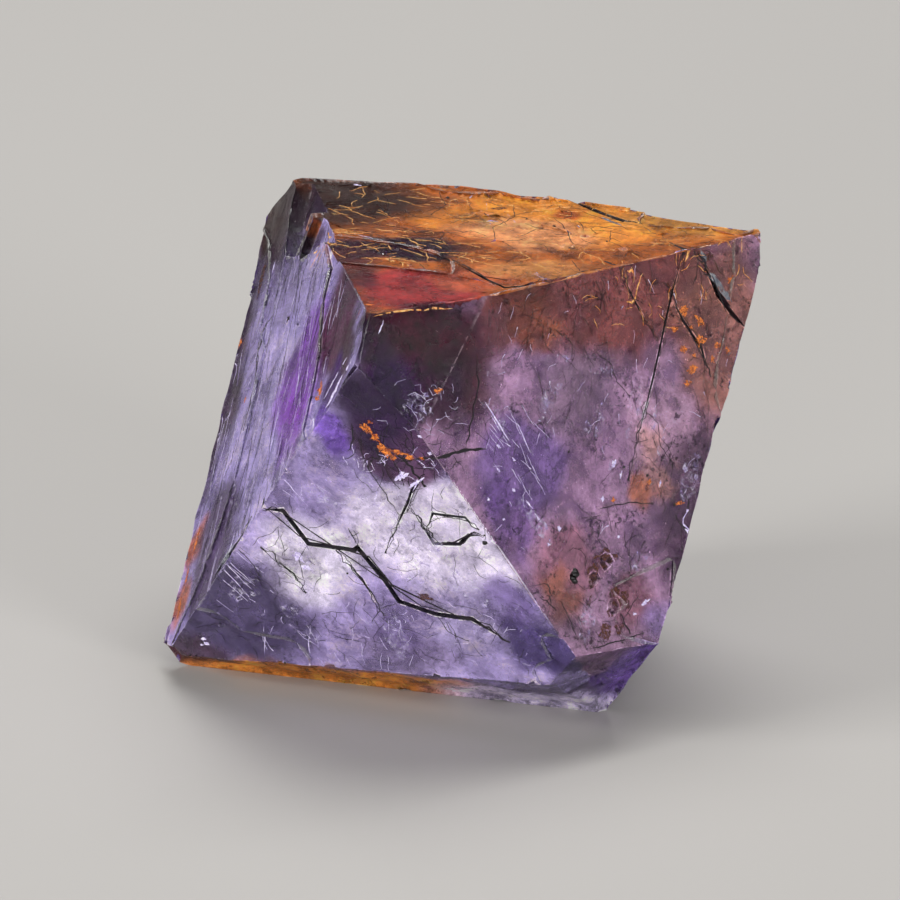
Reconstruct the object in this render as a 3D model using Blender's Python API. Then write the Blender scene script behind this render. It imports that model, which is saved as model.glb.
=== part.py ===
"""A cleaved fluorite octahedron, lying on one of its eight cleavage faces.

The stone is one solid. Fluorite splits along four sets of planes, so each of its eight faces keeps one
of the eight directions of an octahedron, and only its distance from the middle differs. Planes cut from
a block give those faces and the broken edges and corners. Prisms, grooves, pits and nicks then carve what
cleaving leaves behind: ledges where a sheet came away, open cracks, splinters and chipped edges.

Sizes are in millimetres and angles in degrees, and they are scaled to Blender's metres where they are used.
"""

import random
from math import asin, cos, degrees, radians, sin, tau

import bmesh
import bpy
from mathutils import Matrix, Vector

MM = 0.001

# ---------------------------------------------------------------- driving dimensions
TURN = -18.7                        # the whole stone, turned about the upright axis
LEAN = degrees(asin(1 / 3))         # how far an octahedron's side faces lean when it lies on a face
BLOCK = 90.0                        # side of the block that the planes cut
PROUD = 0.6                         # how far a cutter stands above the face that it cuts

# Each face: the bearing of its outward direction, its rise above the horizon, and its distance from the
# middle of the stone. The side faces are up to a degree off the true direction, as split faces are.
FACES = {
    "base": (0.0, -90.0, 17.05),
    "top": (0.0, 90.0, 16.9),
    "right": (-30.0, LEAN - 0.5, 16.0),
    "left": (210.0, LEAN - 0.5, 15.9),
    "back": (90.0, LEAN, 17.1),
    "front": (-90.0, -LEAN + 0.3, 17.0),
    "under_left": (150.0, -LEAN, 15.9),
    "under_right": (29.6, -LEAN - 0.9, 15.75),
}

# Broken edges and corners, each a plane given in the same way.
BREAKS = {
    "toe": (-82.0, -60.2, 18.15),
    "left_toe": (-130.5, -39.1, 25.5),
    "shoulder": (-38.6, 26.3, 18.35),
    "nose": (-96.6, 36.4, 26.2),
    "left_seam": (-118.5, 2.1, 20.65),
    "top_back_edge": (112.0, 42.0, 21.0),
    "left_corner": (149.0, 44.0, 24.5),
    "right_corner": (32.2, 3.5, 23.2),
    "right_heel": (-33.9, -39.3, 21.6),
    "back_corner": (88.0, -38.0, 27.2),
}

PLANES = {**FACES, **BREAKS}

# Ledges: a face, how deep the sheet that came away was, and the outline of its place on that face,
# as steps to the right and up from the face's middle.
LEDGES = [
    ("left", 0.20, [(-13.3, 6.8), (-9.8, 4.7), (-7.5, 2.1), (-4.3, 1.5), (-1.5, -3.1), (1.0, -7.2),
                    (2.4, -13.5), (1.5, -23.0), (-26.0, 8.0)]),
    ("left", 0.16, [(0.4, 14.5), (0.2, 12.4), (4.2, 11.6), (5.7, 9.4), (9.8, 6.6), (12.1, 3.9), (13.6, 1.6),
                    (16.5, 1.0), (24.0, 14.5)]),
    ("left", 1.30, [(-5.6, 8.9), (-8.4, 8.1), (-11.4, 10.2), (-14.6, 14.5), (-6.4, 14.5)]),
    ("left", 0.80, [(0.2, 12.3), (-1.6, 11.3), (-4.3, 9.2), (-4.9, 9.7), (-5.2, 14.5), (0.2, 14.5)]),
    ("top", 0.14, [(-9.6, -4.3), (-6.4, -4.0), (-2.1, -4.4), (0.4, -5.4), (1.5, -8.5), (-2.3, -9.0),
                   (-7.2, -9.7), (-9.9, -6.2)]),
    ("top", 0.22, [(-14.0, 10.4), (-8.2, 10.9), (-5.0, 9.6), (-1.5, 11.3), (1.8, 11.0), (2.6, 15.0),
                   (-15.0, 15.0)]),
    ("top", 0.18, [(10.2, 9.3), (13.0, 9.6), (15.4, 10.6), (17.6, 10.2), (20.0, 15.0), (9.5, 15.0)]),
    ("front", 0.20, [(12.2, -2.4), (13.0, -4.4), (11.4, -5.6), (12.4, -8.4), (12.0, -12.0), (18.0, -12.0),
                     (18.0, -2.4)]),
    ("front", 0.16, [(-18.0, -5.2), (-13.6, -5.4), (-11.8, -6.8), (-7.4, -7.0), (-6.6, -8.6), (-6.4, -12.0),
                     (-20.0, -12.0)]),
    ("right", 0.14, [(17.2, 14.0), (16.2, 9.6), (15.4, 7.9), (12.4, 1.6), (13.0, -2.0), (22.0, 8.0)]),
    ("right", 0.22, [(-0.6, -11.0), (0.6, -12.4), (-0.8, -13.0), (-0.4, -14.4), (3.6, -16.0), (5.5, -10.0)]),
    ("under_right", 0.35, [(-8.0, 13.5), (-4.2, 4.0), (-5.4, 1.2), (-2.0, -4.6), (-2.6, -13.5),
                           (-14.0, -13.5), (-26.0, 13.5)]),
    ("under_right", 0.20, [(6.0, 13.5), (4.6, 8.2), (8.4, 3.6), (7.8, 0.4), (16.0, -6.0), (24.0, 13.5)]),
    ("under_left", 0.28, [(-6.0, 13.5), (-3.2, 6.2), (0.4, 5.4), (3.0, -1.6), (8.6, -3.4), (9.2, -13.5),
                          (26.0, -13.5), (26.0, 13.5)]),
    ("back", 0.32, [(-21.0, 13.5), (-9.0, 13.5), (-7.6, 8.0), (-4.4, 6.4), (-3.4, 1.0), (-0.6, -2.2),
                    (-1.4, -9.0), (-3.0, -22.0), (-21.0, -2.0)]),
    ("back", 0.18, [(6.5, 13.5), (5.2, 9.4), (8.0, 7.2), (7.4, 4.6), (12.4, 0.0), (22.0, 0.0), (22.0, 13.5)]),
]

# Open cracks: a face, the widest opening, the depth there, and the route on that face.
CRACKS = [
    ("front", 0.40, 1.20, [(-9.4, 5.4), (-7.5, 5.6), (-5.7, 2.8), (-2.1, 2.9), (-1.8, 3.2), (0.1, 0.5),
                           (1.1, -1.3), (3.9, -1.9), (6.8, -1.8), (9.6, -3.5)]),
    ("front", 0.30, 0.90, [(2.7, 7.8), (4.3, 4.8), (6.3, 5.1), (7.1, 6.1), (8.4, 6.3)]),
    ("front", 0.22, 0.60, [(3.8, 6.0), (4.4, 7.6), (6.9, 7.7), (7.9, 6.7)]),
    ("front", 0.20, 0.50, [(-3.6, 2.6), (-1.7, 0.3), (-0.2, -2.9)]),
    ("front", 0.16, 0.40, [(-9.6, 1.7), (-7.1, -0.3), (-6.3, -2.0)]),
    ("front", 0.18, 0.50, [(4.0, 11.2), (2.9, 9.5), (2.5, 8.2), (0.3, 3.1)]),
    ("left", 0.26, 0.70, [(-6.2, 3.8), (-7.5, 1.2), (-4.4, -1.0), (-2.8, -4.4)]),
    ("left", 0.50, 0.70, [(8.7, -7.2), (7.9, -9.9), (6.3, -12.2), (5.4, -14.5)]),
    ("right", 0.20, 0.35, [(12.3, 13.2), (9.9, 9.6), (6.6, 3.6), (2.5, -3.4)]),
    ("right", 0.50, 1.00, [(12.9, 12.0), (14.2, 8.5), (15.2, 7.0), (17.4, 4.4)]),
    ("right", 0.24, 0.50, [(9.3, 10.2), (10.4, 7.2), (11.7, 4.9), (12.1, 2.6)]),
    ("right", 0.18, 0.40, [(4.9, 13.0), (6.0, 9.5), (7.8, 5.9)]),
    ("top", 0.28, 0.70, [(-0.3, -5.0), (2.7, -7.1), (6.1, -9.5), (7.4, -8.3), (9.0, -5.5)]),
    ("top", 0.50, 0.60, [(2.4, 13.4), (5.9, 11.0), (9.0, 9.4), (10.8, 9.7)]),
    ("back", 0.30, 0.80, [(1.8, 9.4), (4.0, 5.2), (3.2, 1.4), (6.2, -3.8)]),
    ("under_left", 0.30, 0.80, [(-10.0, -2.0), (-5.8, -3.4), (-3.2, -8.6), (1.6, -10.2)]),
    ("under_right", 0.26, 0.70, [(0.6, 9.0), (2.2, 3.4), (0.8, -1.8), (4.6, -7.0)]),
]

# Pits: a face, the pit's place on it, its width and its depth.
PITS = [
    ("right", (-4.1, -9.4), 0.75, 0.45),
    ("right", (-0.8, -8.8), 1.30, 0.30),
    ("right", (-2.2, -9.9), 1.00, 0.28),
    ("right", (-0.9, -12.2), 1.10, 0.30),
    ("right", (12.6, 5.8), 0.60, 0.30),
    ("right_heel", (-1.4, 3.0), 0.60, 0.25),
    ("right_heel", (-0.3, 2.7), 0.45, 0.20),
    ("right_heel", (0.6, 2.1), 0.70, 0.25),
    ("right_heel", (-0.6, 1.8), 0.40, 0.18),
    ("right_heel", (1.6, 1.4), 0.55, 0.22),
    ("right_heel", (0.5, 1.1), 0.45, 0.20),
    ("right_heel", (2.3, 0.7), 0.50, 0.20),
    ("right_heel", (1.4, 0.3), 0.60, 0.22),
    ("right_heel", (1.8, -0.5), 0.40, 0.18),
    ("top", (11.2, 2.6), 0.60, 0.35),
    ("top", (7.6, 4.4), 0.50, 0.25),
    ("left", (-1.4, 5.2), 0.45, 0.40),
    ("left", (1.6, 6.0), 0.35, 0.30),
    ("front", (-13.4, -6.6), 0.70, 0.35),
    ("back", (-6.0, 2.5), 1.00, 0.35),
    ("under_left", (5.0, 4.0), 0.90, 0.30),
]

# Nicks: how many chips are missing from the edge between two faces.
NICKS = {
    ("top", "back"): 7,
    ("top", "right"): 4,
    ("top", "left"): 3,
    ("left", "front"): 4,
    ("front", "right"): 5,
    ("right", "under_right"): 6,
    ("left", "under_left"): 6,
    ("back", "under_right"): 5,
    ("back", "under_left"): 5,
    ("base", "under_left"): 4,
    ("base", "under_right"): 4,
    ("base", "toe"): 5,
    ("toe", "front"): 4,
}
NICK_REACH = 15.0                   # how far nicks spread to each side of the middle of an edge
NICK_SIZE = (0.7, 1.5)              # shortest and longest chip
NICK_BITE = (0.10, 0.28)            # how far the chips bite into an edge
PIT_SIDES = 7
CRACK_TIP = 0.03                    # opening at the tip of a crack
SEED = 8

COLOUR = (0.62, 0.50, 0.66, 1.0)
ROUGHNESS = 0.12


# ---------------------------------------------------------------- directions and frames
def direction(bearing, rise):
    """Return the unit vector with a bearing and a rise above the horizon."""
    turned, up = radians(bearing + TURN), radians(rise)
    return Vector((cos(up) * cos(turned), cos(up) * sin(turned), sin(up)))


def face_frame(name):
    """Return a frame on a face: X to the right, Y up along the face, and Z out of it."""
    bearing, rise, reach = PLANES[name]
    out = direction(bearing, rise)
    level = abs(rise) == 90.0
    right = direction(0.0, 0.0) if level else Vector((0, 0, 1)).cross(out).normalized()
    frame = Matrix((right, out.cross(right), out)).transposed().to_4x4()
    frame.translation = out * reach * MM
    return frame


def edge_line(first, second):
    """Return the point of the edge between two faces that is nearest to the middle, and its direction."""
    (*way_a, reach_a), (*way_b, reach_b) = PLANES[first], PLANES[second]
    out_a, out_b = direction(*way_a), direction(*way_b)
    along = out_a.cross(out_b).normalized()
    rows = Matrix((out_a, out_b, along))
    return rows.inverted() @ Vector((reach_a, reach_b, 0.0)) * MM, along


# ---------------------------------------------------------------- shaping tools
def cut_block(planes):
    """Cut a block with planes, keeping the side of each that holds the middle."""
    solid = bmesh.new()
    bmesh.ops.create_cube(solid, size=BLOCK * MM)
    for bearing, rise, reach in planes:
        out = direction(bearing, rise)
        everything = solid.verts[:] + solid.edges[:] + solid.faces[:]
        cut = bmesh.ops.bisect_plane(
            solid, geom=everything, dist=1e-7, plane_co=out * reach * MM, plane_no=out, clear_outer=True
        )
        rim = [item for item in cut["geom_cut"] if isinstance(item, bmesh.types.BMEdge)]
        bmesh.ops.contextual_create(solid, geom=rim)
    return solid


def prism(outline, depth):
    """Return a prism that reaches from just above a face down to a depth below it."""
    solid = bmesh.new()
    corners = [solid.verts.new((x * MM, y * MM, PROUD * MM)) for x, y in outline]
    lid = solid.faces.new(corners)
    grown = bmesh.ops.extrude_face_region(solid, geom=[lid])
    lower = [item for item in grown["geom"] if isinstance(item, bmesh.types.BMVert)]
    bmesh.ops.translate(solid, verts=lower, vec=(0, 0, -(depth + PROUD) * MM))
    return solid


def crack_sections(route, opening, depth):
    """Yield the three corners of a crack at each point of its route: left lip, right lip and root."""
    points = [Vector(point) for point in route]
    for index, here in enumerate(points):
        before = (here - points[max(index - 1, 0)]).normalized()
        after = (points[min(index + 1, len(points) - 1)] - here).normalized()
        along = (before + after).normalized()
        mitre = max(0.6, along.dot(after if after.length else before))
        at_tip = index in (0, len(points) - 1)
        half = CRACK_TIP if at_tip else opening / 2 / mitre
        root = PROUD / 2 if at_tip else -depth
        lift = 1.0 + PROUD / depth
        side = Vector((-along.y, along.x)) * half * lift
        yield [(*(here + side), PROUD), (*(here - side), PROUD), (*here, root)]


def groove(route, opening, depth):
    """Return a V-shaped cutter that follows a route and runs out at both of its ends."""
    solid = bmesh.new()
    sections = list(crack_sections(route, opening, depth))
    ring = [solid.verts.new(Vector(corner) * MM) for corner in sections[0]]
    edges = solid.faces.new(ring).edges[:]
    for corners in sections[1:]:
        grown = bmesh.ops.extrude_edge_only(solid, edges=edges)
        edges = [item for item in grown["geom"] if isinstance(item, bmesh.types.BMEdge)]
        ring = order_ring(ring, edges)
        for vert, corner in zip(ring, corners):
            vert.co = Vector(corner) * MM
    bmesh.ops.contextual_create(solid, geom=edges)
    return solid


def order_ring(old_ring, new_edges):
    """Return the corners of an extruded ring in the order of the ring that they grew from."""
    fresh = {vert for edge in new_edges for vert in edge.verts}
    ring = []
    for old in old_ring:
        ring.append(next(edge.other_vert(old) for edge in old.link_edges if edge.other_vert(old) in fresh))
    return ring


def pit(place, width, depth, dice):
    """Return an uneven cone whose tip points down into a face."""
    solid = bmesh.new()
    height = depth + PROUD
    spread = width / 2 * height / depth
    bmesh.ops.create_cone(
        solid, cap_ends=True, segments=PIT_SIDES, radius1=0.04 * MM, radius2=spread * MM, depth=height * MM
    )
    for vert in solid.verts:
        vert.co.xy *= dice.uniform(0.75, 1.2)
    bmesh.ops.translate(solid, verts=solid.verts, vec=Vector((*place, PROUD - height / 2)) * MM)
    return solid


def nick(place, inward, dice):
    """Return a small tumbled block that bites into an edge."""
    solid = bmesh.new()
    size = dice.uniform(*NICK_SIZE)
    bmesh.ops.create_cube(solid, size=size * MM)
    bmesh.ops.scale(solid, vec=(1.0, dice.uniform(0.5, 0.8), dice.uniform(0.5, 0.8)), verts=solid.verts)
    axis = Vector([dice.uniform(-1, 1) for _ in range(3)]).normalized()
    spin = Matrix.Rotation(dice.uniform(0, tau), 3, axis)
    bmesh.ops.rotate(solid, verts=solid.verts, cent=(0, 0, 0), matrix=spin)
    deepest = max(vert.co.dot(inward) for vert in solid.verts)
    bite = dice.uniform(*NICK_BITE) * MM
    bmesh.ops.translate(solid, verts=solid.verts, vec=place + inward * (bite - deepest))
    return solid


# ---------------------------------------------------------------- objects
def make_object(name, solid):
    """Turn a bmesh into a named object of the scene."""
    bmesh.ops.recalc_face_normals(solid, faces=solid.faces)
    if solid.calc_volume(signed=True) < 0:
        bmesh.ops.reverse_faces(solid, faces=solid.faces)
    mesh = bpy.data.meshes.new(name)
    solid.to_mesh(mesh)
    solid.free()
    made = bpy.data.objects.new(name, mesh)
    bpy.context.scene.collection.objects.link(made)
    return made


def carve(stone, name, solid):
    """Take a cutter's shape out of the stone, and keep the cutter as a hidden guide."""
    cutter = make_object(name, solid)
    cutter.location = stone.location
    cutter.hide_render = True
    cutter.display_type = "WIRE"
    cut = stone.modifiers.new(name, "BOOLEAN")
    cut.operation = "DIFFERENCE"
    cut.solver = "EXACT"
    cut.object = cutter


def carve_faces(stone):
    """Carve the ledges, cracks and pits into their faces."""
    dice = random.Random(SEED)
    for index, (face, depth, outline) in enumerate(LEDGES):
        solid = prism(outline, depth)
        solid.transform(face_frame(face))
        carve(stone, f"ledge_{index}", solid)
    for index, (face, opening, depth, route) in enumerate(CRACKS):
        solid = groove(route, opening, depth)
        solid.transform(face_frame(face))
        carve(stone, f"crack_{index}", solid)
    for index, (face, place, width, depth) in enumerate(PITS):
        solid = pit(place, width, depth, dice)
        solid.transform(face_frame(face))
        carve(stone, f"pit_{index}", solid)


def carve_edges(stone):
    """Chip small nicks out of the edges between the faces."""
    dice = random.Random(SEED + 1)
    for (first, second), count in NICKS.items():
        middle, along = edge_line(first, second)
        inward = -(direction(*PLANES[first][:2]) + direction(*PLANES[second][:2])).normalized()
        for index in range(count):
            share = (index + dice.uniform(0.2, 0.8)) / count
            place = middle + along * (2 * share - 1) * NICK_REACH * MM
            carve(stone, f"nick_{first}_{second}_{index}", nick(place, inward, dice))


def crystal_material():
    """Return the stone's plain material: pale purple fluorite with a glossy cleavage."""
    material = bpy.data.materials.new("cleaved_fluorite")
    material.use_nodes = True
    shader = material.node_tree.nodes["Principled BSDF"]
    shader.inputs["Base Color"].default_value = COLOUR
    shader.inputs["Roughness"].default_value = ROUGHNESS
    shader.inputs["Metallic"].default_value = 0.0
    return material


def main():
    """Build the stone and set it down on its base, over the middle of its own footprint."""
    for old in list(bpy.data.objects):
        bpy.data.objects.remove(old, do_unlink=True)
    stone = make_object("fluorite_octahedron", cut_block(PLANES.values()))
    stone.data.materials.append(crystal_material())
    corners = [vert.co for vert in stone.data.vertices]
    middle_x = (min(co.x for co in corners) + max(co.x for co in corners)) / 2
    middle_y = (min(co.y for co in corners) + max(co.y for co in corners)) / 2
    stone.location = (-middle_x, -middle_y, FACES["base"][2] * MM)
    carve_faces(stone)
    carve_edges(stone)


main()
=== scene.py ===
"""The looks of a cleaved fluorite octahedron: its split faces, colour zones, cracks, veils and stains.

Lengths are metres; those written in millimetres are multiplied by MM where they are used. A place on the
stone is given on one of its faces, as millimetres to the right and up from the face's middle, and a depth.
"""

import logging
import math
import random
from dataclasses import dataclass, field
from enum import Enum

import bmesh
import bpy
import numpy as np
from mathutils import Matrix, Vector, noise
from mathutils.bvhtree import BVHTree


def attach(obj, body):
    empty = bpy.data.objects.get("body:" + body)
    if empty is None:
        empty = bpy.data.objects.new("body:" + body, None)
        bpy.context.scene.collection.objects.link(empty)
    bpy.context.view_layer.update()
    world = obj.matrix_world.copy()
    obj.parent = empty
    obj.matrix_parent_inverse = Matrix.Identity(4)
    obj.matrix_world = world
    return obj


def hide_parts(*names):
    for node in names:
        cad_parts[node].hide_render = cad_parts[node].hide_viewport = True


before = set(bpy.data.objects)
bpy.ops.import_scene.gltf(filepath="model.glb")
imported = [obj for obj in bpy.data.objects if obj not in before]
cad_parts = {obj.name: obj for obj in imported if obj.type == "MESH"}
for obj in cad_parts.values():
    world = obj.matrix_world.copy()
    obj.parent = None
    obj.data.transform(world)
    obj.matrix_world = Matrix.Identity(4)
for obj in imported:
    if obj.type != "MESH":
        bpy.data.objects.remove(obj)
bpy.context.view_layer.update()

LOG = logging.getLogger("fluorite")
MM = 0.001
STONE = "fluorite_octahedron"
BODY = "root"

# The middle of the stone, from which each face's distance is counted.
MIDDLE = Vector((-0.18, -0.36, 17.05)) * MM

FLUORITE_IOR = 1.434
PROUD = 0.013                       # how far a mark stands out of the skin, so that it shows, in millimetres


class Face(Enum):
    """The stone's eight cleavage faces, each with the bearing and rise of its outward direction in degrees.

    The nose isn't a cleavage face but a plane that stands before the broken front corner.
    """

    TOP = (0.0, 90.0)
    BASE = (0.0, -90.0)
    RIGHT = (-48.7, 19.0)
    LEFT = (191.3, 19.0)
    BACK = (71.3, 19.5)
    FRONT = (-108.7, -19.2)
    UNDER_LEFT = (131.3, -19.5)
    UNDER_RIGHT = (10.9, -20.4)
    NOSE = (-90.0, 19.4)

    @property
    def direction(self) -> Vector:
        """Return the unit vector that points out of the face."""
        bearing, rise = (math.radians(angle) for angle in self.value)
        return Vector((math.cos(rise) * math.cos(bearing), math.cos(rise) * math.sin(bearing), math.sin(rise)))


# ---------------------------------------------------------------- small tools
def linear(colour: str) -> tuple[float, float, float, float]:
    """Turn an sRGB hex colour into linear light.

    Args:
        colour: The colour as six hex digits after a hash sign.

    Returns:
        Red, green, blue and an alpha of one.
    """
    channels = [int(colour[place:place + 2], 16) / 255 for place in (1, 3, 5)]
    lit = [c / 12.92 if c <= 0.04045 else ((c + 0.055) / 1.055) ** 2.4 for c in channels]
    return (*lit, 1.0)


def add_node(
    tree: bpy.types.NodeTree, kind: str, settings: dict[str | int, object] | None = None,
    links: dict[str | int, bpy.types.NodeSocket] | None = None,
) -> bpy.types.Node:
    """Add a node to a tree.

    Args:
        tree: The node tree to add to.
        kind: The node's type name.
        settings: Values for the node's inputs, or else its properties, by name.
        links: Sockets to connect to the node's inputs, by input name.

    Returns:
        The new node.
    """
    node = tree.nodes.new(kind)
    for name, value in (settings or {}).items():
        if isinstance(name, int) or name in node.inputs:
            node.inputs[name].default_value = value
        else:
            setattr(node, name, value)
    for name, source in (links or {}).items():
        tree.links.new(source, node.inputs[name])
    return node


def new_material(name: str) -> tuple[bpy.types.Material, bpy.types.Node]:
    """Make a material that holds one Principled shader.

    Args:
        name: The material's name.

    Returns:
        The material and its shader node.
    """
    material = bpy.data.materials.new(name)
    material.use_nodes = True
    return material, material.node_tree.nodes["Principled BSDF"]


def finish_piece(name: str, solid: bmesh.types.BMesh, material: bpy.types.Material) -> bpy.types.Object:
    """Turn a bmesh into a piece that rides with the stone.

    Args:
        name: The piece's name.
        solid: The shape; it is freed.
        material: The finish.

    Returns:
        The new object.
    """
    mesh = bpy.data.meshes.new(name)
    solid.to_mesh(mesh)
    solid.free()
    mesh.materials.append(material)
    piece = bpy.data.objects.new(name, mesh)
    bpy.context.scene.collection.objects.link(piece)
    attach(piece, BODY)
    return piece


# ---------------------------------------------------------------- the faces
@dataclass(frozen=True)
class FacePlane:
    """A cleavage face as the frame holds it.

    Attributes:
        matrix: The face's axes and middle: X to the right, Y up along the face, Z out of it.
        reach: How far below the plane the stone's surface may lie, in millimetres.
    """

    matrix: Matrix
    reach: float = 3.0

    @classmethod
    def measure(cls, mesh: bpy.types.Mesh, face: Face) -> "FacePlane":
        """Find a face's plane in the stone's mesh.

        Args:
            mesh: The stone's own mesh.
            face: The face to look for.

        Returns:
            The plane through the face, which its ledges lie below.
        """
        same_way = math.cos(math.radians(2.5))
        found = [polygon for polygon in mesh.polygons if polygon.normal.dot(face.direction) > same_way]
        outermost = max((polygon.center - MIDDLE).dot(face.direction) for polygon in found)
        at_top = [p for p in found if (p.center - MIDDLE).dot(face.direction) > outermost - 0.6 * MM]
        out = sum((p.normal * p.area for p in at_top), Vector()).normalized()
        reach = max((p.center - MIDDLE).dot(out) for p in at_top if p.normal.dot(out) > same_way)
        level = abs(face.value[1]) == 90.0
        right = Vector((math.cos(math.radians(-18.7)), math.sin(math.radians(-18.7)), 0.0))
        if not level:
            right = Vector((0, 0, 1)).cross(out).normalized()
        matrix = Matrix((right, out.cross(right), out)).transposed().to_4x4()
        matrix.translation = MIDDLE + out * reach
        return cls(matrix)

    @classmethod
    def before(cls, face: Face, distance: float) -> "FacePlane":
        """Stand a plane before a broken corner.

        Args:
            face: The corner.
            distance: How far from the stone's middle the plane stands, in metres.

        Returns:
            The plane.
        """
        out = face.direction
        right = Vector((0, 0, 1)).cross(out).normalized()
        matrix = Matrix((right, out.cross(right), out)).transposed().to_4x4()
        matrix.translation = MIDDLE + out * distance
        return cls(matrix, 24.0)

    def at(self, right: float, up: float, depth: float = 0.0) -> Vector:
        """Return a point given in millimetres on the face, at a depth below it, in metres."""
        return self.matrix @ (Vector((right, up, -depth)) * MM)

    @property
    def out(self) -> Vector:
        """Return the direction out of the face."""
        return self.matrix.col[2].to_3d()


# ---------------------------------------------------------------- the stone's outside
@dataclass(frozen=True)
class Grain:
    """How a face split: its fibres and its steps, in millimetres, and how strongly each kind of mark shows.

    Attributes:
        direction: Which way the fibres run on the face, in degrees from its right.
        across: Usual width of a furrow.
        along: Usual length of a furrow.
        height: How deep the furrows are.
        step: Height of the low steps between the sheets that came away.
        step_width: Usual width of a sheet.
        thread: Width of the fine fibres between the furrows.
        streaks: How strongly the fibres show, from 0 to 1.
        clouds: How strongly dark and light clouds show, from 0 to 1.
        flecks: How many dark and bright flecks show, from 0 to 1.
    """

    direction: float = 60.0
    across: float = 2.4
    along: float = 6.0
    height: float = 0.06
    step: float = 0.05
    step_width: float = 7.0
    thread: float = 0.6
    streaks: float = 0.5
    clouds: float = 0.6
    flecks: float = 0.5


GRAINS: dict[Face | None, Grain] = {
    Face.TOP: Grain(20.0, 1.5, 4.5, 0.12, 0.07, 8.0, 0.7, streaks=0.50, clouds=0.5, flecks=0.55),
    Face.BASE: Grain(height=0.0, step=0.0),
    Face.RIGHT: Grain(68.0, 1.8, 8.0, 0.05, 0.05, 7.0, 0.7, streaks=0.40, clouds=0.45, flecks=0.85),
    Face.LEFT: Grain(-57.4, 0.9, 22.0, 0.16, 0.06, 5.0, 0.42, streaks=1.0, clouds=0.35, flecks=0.3),
    Face.FRONT: Grain(-75.0, 2.0, 5.0, 0.05, 0.05, 6.0, 0.9, streaks=0.40, clouds=0.35, flecks=0.45),
    Face.BACK: Grain(direction=40.0, height=0.08),
    Face.UNDER_LEFT: Grain(-60.0, 1.3, 8.0, 0.10, thread=0.5, streaks=0.8),
    Face.UNDER_RIGHT: Grain(direction=65.0, height=0.08),
    None: Grain(30.0, 1.2, 2.0, 0.22, 0.10, 2.5, 0.5, streaks=0.5, clouds=0.8, flecks=0.9),
}


@dataclass(frozen=True)
class Zone:
    """A soft-edged patch of colour near the stone's surface.

    Attributes:
        centre: The patch's middle, in millimetres in the row frame.
        radii: How far it reaches along X, Y and Z, in millimetres.
        colour: Its colour.
        strength: How much of the stone's own colour it covers, from 0 to 1.
        haze: How milky it is, from 0 to 1, or None where it leaves the milkiness as it is.
        faces: The faces it shows on, None among them for broken surfaces, or nothing to show on all.
    """

    centre: tuple[float, float, float]
    radii: tuple[float, float, float]
    colour: str
    strength: float = 1.0
    haze: float | None = None
    faces: tuple[Face | None, ...] = ()


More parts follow.
